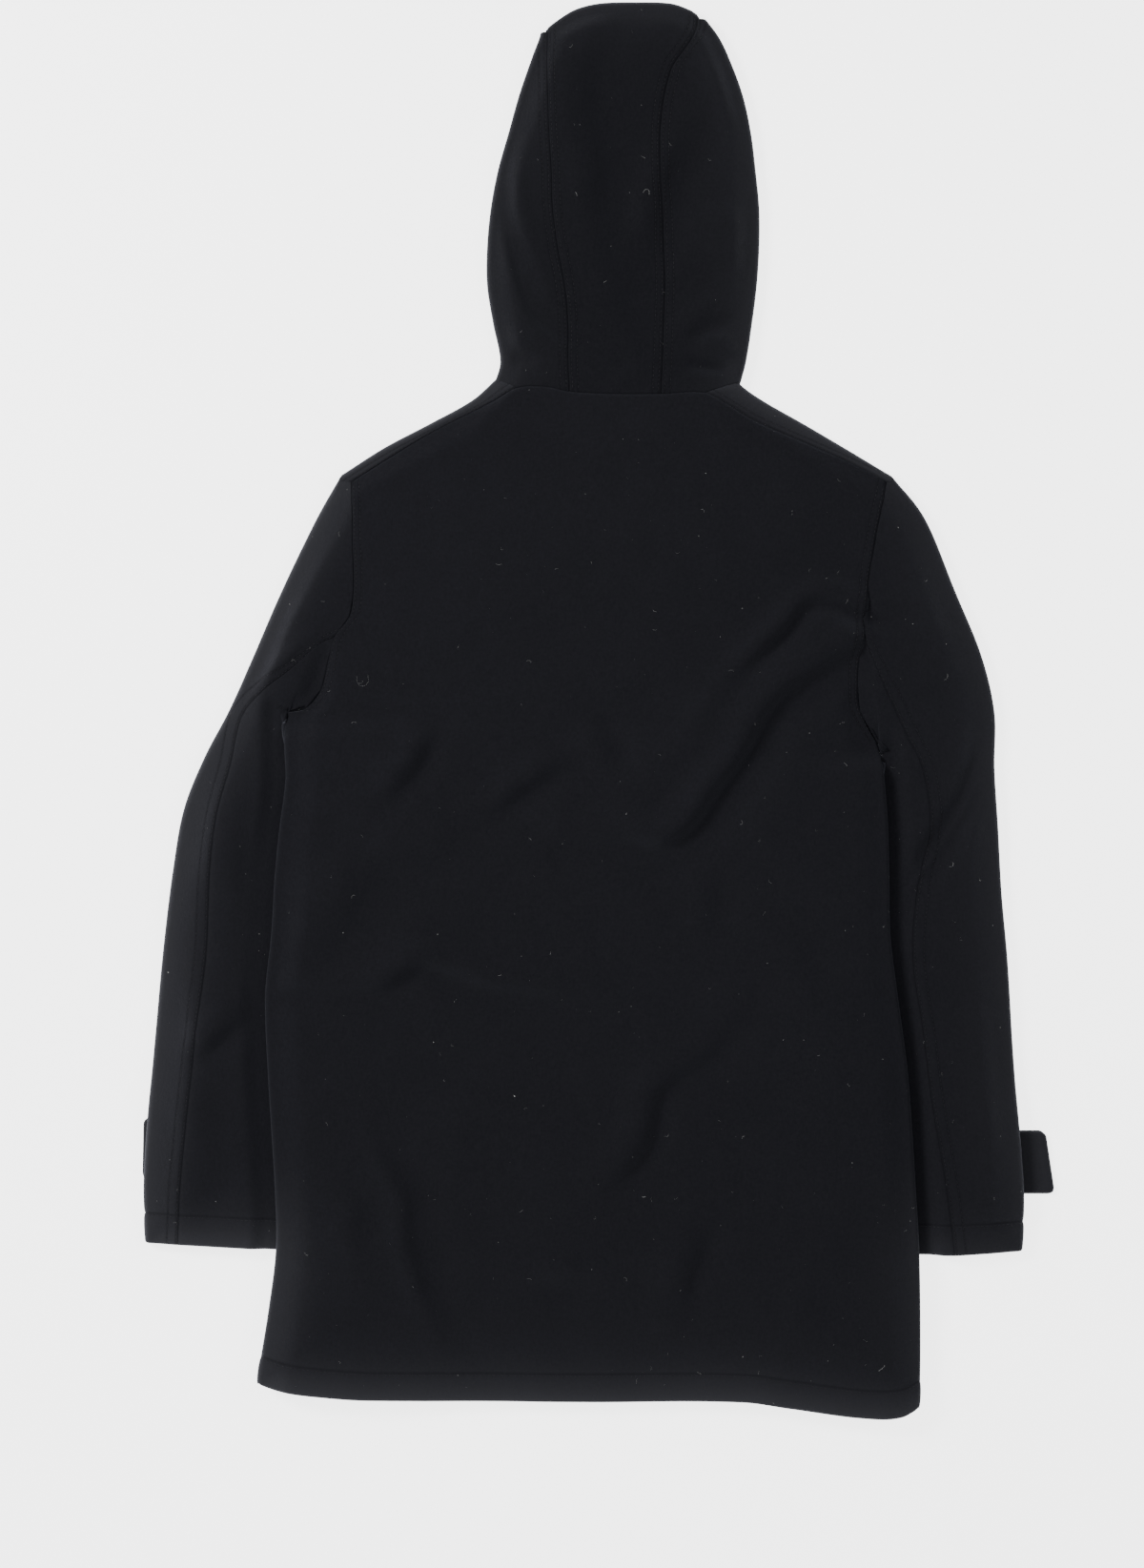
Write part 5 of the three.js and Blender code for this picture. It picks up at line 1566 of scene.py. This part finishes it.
@dataclass(frozen=True)
class WoolFinish:
    """Milled wool: ground and nap colours, nap depth, stitch rows, sheen, a painted edge highlight
    and painted shade in the seams.
    """

    name: str
    ground: tuple[float, float, float] = (0.0042, 0.0041, 0.0054)
    tips: tuple[float, float, float] = (0.0096, 0.0093, 0.0122)
    depth: float = 0.42
    first_row: float = 1.8
    second_row: float = 7.0
    hem_row: float = 24.0
    edge_highlight: float = 0.95  # how strong the painted highlight along the outline is
    # colour of the painted highlight along the outline
    highlight_color: tuple[float, float, float] = (0.0300, 0.0300, 0.0340)
    groove: float = 0.6  # how dark the painted shade in a seam's groove is
    sheen: float = 0.09
    sheen_tint: tuple[float, float, float] = (0.80, 0.84, 1.0)

    def build(self) -> bpy.types.Material:
        """The material, with the shared groups placed in it."""
        material = bpy.data.materials.new(self.name)
        material.use_nodes = True
        material.node_tree.nodes.clear()
        nodes = Nodes(material.node_tree)
        nap = nodes.add("ShaderNodeGroup", node_tree=bpy.data.node_groups["milled_nap"])
        nap.inputs["Ground"].default_value = (*self.ground, 1)
        nap.inputs["Tips"].default_value = (*self.tips, 1)
        nap.inputs["Depth"].default_value = self.depth
        sewn = nodes.add("ShaderNodeGroup", node_tree=bpy.data.node_groups["sewn_lines"])
        sewn.inputs["First row"].default_value = self.first_row
        sewn.inputs["Second row"].default_value = self.second_row
        sewn.inputs["Hem row"].default_value = self.hem_row
        height = nodes.math("ADD", nap.outputs["Height"], sewn.outputs["Height"])
        bump = nodes.add("ShaderNodeBump", {"Height": height, "Strength": 1.0, "Distance": MM})
        # painted highlight along the outline: a paler colour mixed into the nap
        highlighted = nodes.add("ShaderNodeMix", {
            "Factor": nodes.math("MULTIPLY", sewn.outputs["Edge highlight"], self.edge_highlight),
            "A": nap.outputs["Color"], "B": (*self.highlight_color, 1)}, data_type="RGBA")
        # painted shade in seams and stitch rows: a darker colour, and less sheen there
        shaded = nodes.add("ShaderNodeMix", {
            "Factor": sewn.outputs["Shade"], "A": highlighted.outputs["Result"],
            "B": (*(value * self.groove for value in self.ground), 1)}, data_type="RGBA")
        sheen = nodes.math("MULTIPLY", nodes.math("SUBTRACT", 1.0, sewn.outputs["Shade"]),
                           self.sheen)
        cloth = nodes.add("ShaderNodeBsdfPrincipled", {
            "Base Color": shaded.outputs["Result"], "Roughness": nap.outputs["Roughness"],
            "Specular IOR Level": 0.08, "Sheen Weight": sheen, "Sheen Roughness": 0.55,
            "Sheen Tint": (*self.sheen_tint, 1), "Normal": bump.outputs[0]})
        nodes.add("ShaderNodeOutputMaterial", {"Surface": cloth.outputs[0]})
        return material


@dataclass(frozen=True)
class FibreFinish:
    """Loose or sewn fibre: its colour, how much it varies, and how dull it is."""

    name: str
    color: tuple[float, float, float]
    vary: float = 0.3
    roughness: float = 0.7

    def build(self) -> bpy.types.Material:
        """The material, with a fine twist and a slow change of colour."""
        material = bpy.data.materials.new(self.name)
        material.use_nodes = True
        material.node_tree.nodes.clear()
        nodes = Nodes(material.node_tree)
        place = nodes.add("ShaderNodeTexCoord").outputs["Object"]
        slow = nodes.noise(place, 45.0, 2.0)
        twist = nodes.noise(place, 2600.0, 1.0)
        dark = tuple(value * (1 - self.vary) for value in self.color)
        color = nodes.add("ShaderNodeMix", {"Factor": slow, "A": (*dark, 1),
                                            "B": (*self.color, 1)}, data_type="RGBA")
        bump = nodes.add("ShaderNodeBump", {"Height": twist, "Strength": 0.6,
                                            "Distance": 0.1 * MM})
        fibre = nodes.add("ShaderNodeBsdfPrincipled", {
            "Base Color": color.outputs["Result"], "Roughness": self.roughness,
            "Specular IOR Level": 0.25, "Normal": bump.outputs[0]})
        nodes.add("ShaderNodeOutputMaterial", {"Surface": fibre.outputs[0]})
        return material


# ---- Studio -----------------------------------------------------------------------------------


@dataclass(frozen=True)
class Studio:
    """Pale floor, soft lights and a camera straight above."""

    frame_size: tuple[float, float] = (0.960, 1.316)  # what the camera sees at the floor
    centre: tuple[float, float] = (-0.0220, -0.0625)
    camera_height: float = 2.4
    floor_color: tuple[float, float, float] = (0.90, 0.90, 0.90)
    floor_glow: float = 3.7  # the coat lies on a lit white table

    def camera(self) -> None:
        """Puts the camera over the coat, looking straight down."""
        data = bpy.data.cameras.new("camera")
        data.sensor_fit = "VERTICAL"
        data.sensor_height = 36.0
        data.lens = 36.0 * self.camera_height / self.frame_size[1]
        item = linked("camera", data)
        item.location = (*self.centre, self.camera_height)
        bpy.context.scene.camera = item

    def floor(self) -> None:
        """A plain pale floor."""
        bm = bmesh.new()
        bmesh.ops.create_grid(bm, x_segments=2, y_segments=2, size=4.0)
        mesh = bpy.data.meshes.new("floor")
        bm.to_mesh(mesh)
        bm.free()
        item = linked("floor", mesh)
        material = bpy.data.materials.new("pale_floor")
        material.use_nodes = True
        shader = material.node_tree.nodes["Principled BSDF"]
        shader.inputs["Base Color"].default_value = (*self.floor_color, 1)
        shader.inputs["Roughness"].default_value = 0.9
        shader.inputs["Specular IOR Level"].default_value = 0.1
        shader.inputs["Emission Color"].default_value = (*self.floor_color, 1)
        shader.inputs["Emission Strength"].default_value = self.floor_glow
        item.data.materials.append(material)

    def light(self, name: str, place: tuple[float, float, float], size: float,
              power: float) -> None:
        """A square soft light that points at the coat."""
        data = bpy.data.lights.new(name, "AREA")
        data.size = size
        data.energy = power
        item = linked(name, data)
        item.location = place
        item.rotation_euler = (-Vector(place)).to_track_quat("-Z", "Y").to_euler()

    def build(self) -> None:
        """Sets up the floor, the lights and the sky."""
        self.floor()
        self.light("key", (-1.7, 0.8, 1.4), 0.7, 60.0)
        self.light("fill", (1.6, 0.3, 1.4), 1.0, 18.0)
        self.light("front", (-0.4, -1.6, 0.5), 0.6, 7.0)
        world = bpy.data.worlds.new("soft_sky")
        world.use_nodes = True
        sky = world.node_tree.nodes["Background"]
        sky.inputs["Color"].default_value = (0.93, 0.96, 1.0, 1)
        sky.inputs["Strength"].default_value = 0.35
        bpy.context.scene.world = world


# ---- The coat -----------------------------------------------------------------------------------

# Fibres in set places: x, y, length, angle, bend and thickness
PLACED_FIBRES = (
    (40.0, 432.0, 9.0, -0.35, -1.9, 1.1), (-19.0, 428.0, 4.0, 1.9, 0.5, 0.9),
    (-197.0, 18.0, 20.0, 0.1, 2.2, 0.4), (235.0, -550.0, 7.0, 0.7, 0.3, 0.9),
    (295.0, -132.0, 6.0, 0.9, 1.6, 0.8), (290.0, 25.0, 6.0, 1.1, 0.8, 0.7),
    (-83.0, -223.0, 3.0, 0.2, 0.1, 0.7), (37.0, -408.0, 3.0, 0.1, 0.4, 1.2),
    (205.0, -47.0, 4.0, 2.4, 0.3, 0.7), (-84.0, 119.0, 5.0, 0.0, 0.6, 0.6),
    (357.0, -380.0, 5.5, 1.5, 0.5, 1.1),
)
# Distances of the two rows of topstitching from a seam
BODY_ROWS = (1.8, 7.0)
SLEEVE_ROWS = (1.8, 9.5)
HOOD_ROWS = (2.6, 7.4)
TUCK = 2.0  # width of the seam allowance behind a seam
UNDER_TUCK = 7.0  # and behind the seams of an under sleeve

# Cuts of the sleeves' pieces and of the hood's sides, all round
SLEEVE_CUTS = {
    "sleeve_left_top": Cut(0.120, 0.660, 0.048), "sleeve_left_under": Cut(0.235, 0.545, 0.099),
    "sleeve_right_top": Cut(0.190, 0.675, 0.093), "sleeve_right_under": Cut(0.175, 0.545, 0.068)}
HOOD_CUTS = {Side.LEFT: Cut(0.150, 0.350, 0.038), Side.RIGHT: Cut(0.175, 0.370, 0.053)}


@dataclass
class Coat:
    """The whole coat: it builds each sub-assembly in the order in which they are sewn."""

    body: Body = field(default_factory=Body)
    hood: Hood = field(default_factory=Hood)
    sleeves: dict[Side, Sleeve] = field(
        default_factory=lambda: {side: Sleeve(side) for side in Side})
    sewing: Sewing = field(default_factory=Sewing)

    def cloth(self, name: str, surfaces: list[Surface], finish: bpy.types.Material, cut: Cut,
              rests_on: Sequence[str], sewn: Sequence[Border],
              tuck: float = TUCK) -> None:
        """Makes a piece of cloth and dresses it."""
        sheets = [surface.tucked(sewn, tuck) for surface in surfaces]
        item = cloth_object(f"{name}_cloth", sheets)
        dress(item, finish, name)

    def build(self) -> None:
        """Builds every piece of the coat."""
        nap_group()
        seam_group()
        wool = WoolFinish("melton_body").build()
        rows = {"second_row": SLEEVE_ROWS[1], "hem_row": Sleeve.hem_band}
        sleeve_wools = {
            Side.LEFT: WoolFinish("melton_sleeve_left", **rows).build(),
            # the right sleeve, on the side away from the key light, gets less painted edge
            # highlight
            Side.RIGHT: WoolFinish("melton_sleeve_right", **rows, edge_highlight=0.45).build()}
        # The hood's darker ground and tips are painted shade, and it gets less painted edge
        # highlight.
        hood_wool = WoolFinish("melton_hood", first_row=HOOD_ROWS[0], second_row=HOOD_ROWS[1],
                               edge_highlight=0.5, ground=(0.0032, 0.0031, 0.0042),
                               tips=(0.0078, 0.0076, 0.0100)).build()
        thread = FibreFinish("sewing_thread", (0.011, 0.011, 0.015), 0.25, 0.5).build()
        lint = FibreFinish("white_lint", (0.62, 0.62, 0.60), 0.45, 0.8).build()
        back = self.build_body(wool)
        for side, sleeve in self.sleeves.items():
            self.build_sleeve(sleeve, self.body.armhole(back, side), sleeve_wools[side])
        self.build_hood(back, hood_wool)
        dress(self.sewing.build("topstitching"), thread)
        bpy.context.view_layer.update()
        for item in Lint().build(PLACED_FIBRES):
            dress(item, lint)

    def build_body(self, wool: bpy.types.Material) -> Surface:
        """Builds the fronts and the back on them, and gives the back's outside."""
        back = self.body.back()
        back.sink(depth=0.5, width=2.0)
        back.round_hem(radius=WALL, band=self.body.hem_band, puff=0.9)
        for side in Side:
            name = f"front_{side.word}"
            fronts = self.body.front(side, back)
            fronts[1].sink(depth=0.4, width=2.0)
            self.cloth(name, fronts, wool, self.body.cuts[name], ["floor"], [Border.START])
            for offset in BODY_ROWS:
                self.sewing.add(fronts[1], Border.LAST, offset)
        self.cloth("back", [back], wool, self.body.cuts["back"],
                   ["front_left_cloth", "front_right_cloth"],
                   [Border.START, Border.END, Border.LAST])
        holes = slice(-self.body.armhole_rows, None)
        for border in (Border.START, Border.END):
            for offset in BODY_ROWS:
                self.sewing.add(back, border, offset, holes)
        self.sewing.add(back, Border.FIRST, self.body.hem_band)
        return back

    def build_sleeve(self, sleeve: Sleeve, armhole: Array, wool: bpy.types.Material) -> None:
        """Builds a sleeve's two pieces and its tab."""
        word = sleeve.side.word
        outer = sleeve.piece("outer", armhole, (20, 30))
        inner = sleeve.piece("inner", armhole, (28, 44))
        for surface, kind, tuck in ((outer, "top", TUCK), (inner, "under", UNDER_TUCK)):
            surface.sink(depth=0.4, width=2.0)
            surface.round_hem(radius=WALL, band=sleeve.hem_band, puff=0.8)
            name = f"sleeve_{word}_{kind}"
            self.cloth(name, [surface], wool, SLEEVE_CUTS[name], ["floor"],
                       [Border.START, Border.END, Border.FIRST], tuck)
            self.sewing.add(surface, Border.LAST, sleeve.hem_band)
        for offset in SLEEVE_ROWS:
            self.sewing.add(outer, Border.END, offset)
        tab = sleeve.tab()
        dress(tab, wool, f"cuff_tab_{word}")

    def build_hood(self, back: Surface, wool: bpy.types.Material) -> None:
        """Builds the hood's centre strip and its two sides."""
        stops = self.body.stops()
        strip = self.hood.strip(back, stops)
        strip.sink(depth=0.4, width=1.8)
        self.cloth("hood_centre", [strip], wool, Cut(0.128, 0.335, 0.035), ["floor"],
                   [Border.START, Border.END, Border.FIRST])
        for border in (Border.START, Border.END):
            for offset in HOOD_ROWS:
                self.sewing.add(strip, border, offset)
        for side in Side:
            surface = self.hood.side(side, back, stops)
            surface.sink(depth=0.4, width=2.0)
            self.cloth(f"hood_{side.word}", [surface], wool, HOOD_CUTS[side], ["floor"],
                       [Border.START, Border.FIRST])
            for offset in HOOD_ROWS:
                self.sewing.add(surface, Border.START, offset)


def main() -> None:
    """Builds the coat and its studio."""
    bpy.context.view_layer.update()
    studio = Studio()
    studio.camera()
    Coat().build()
    studio.build()


if __name__ == "__main__":
    main()
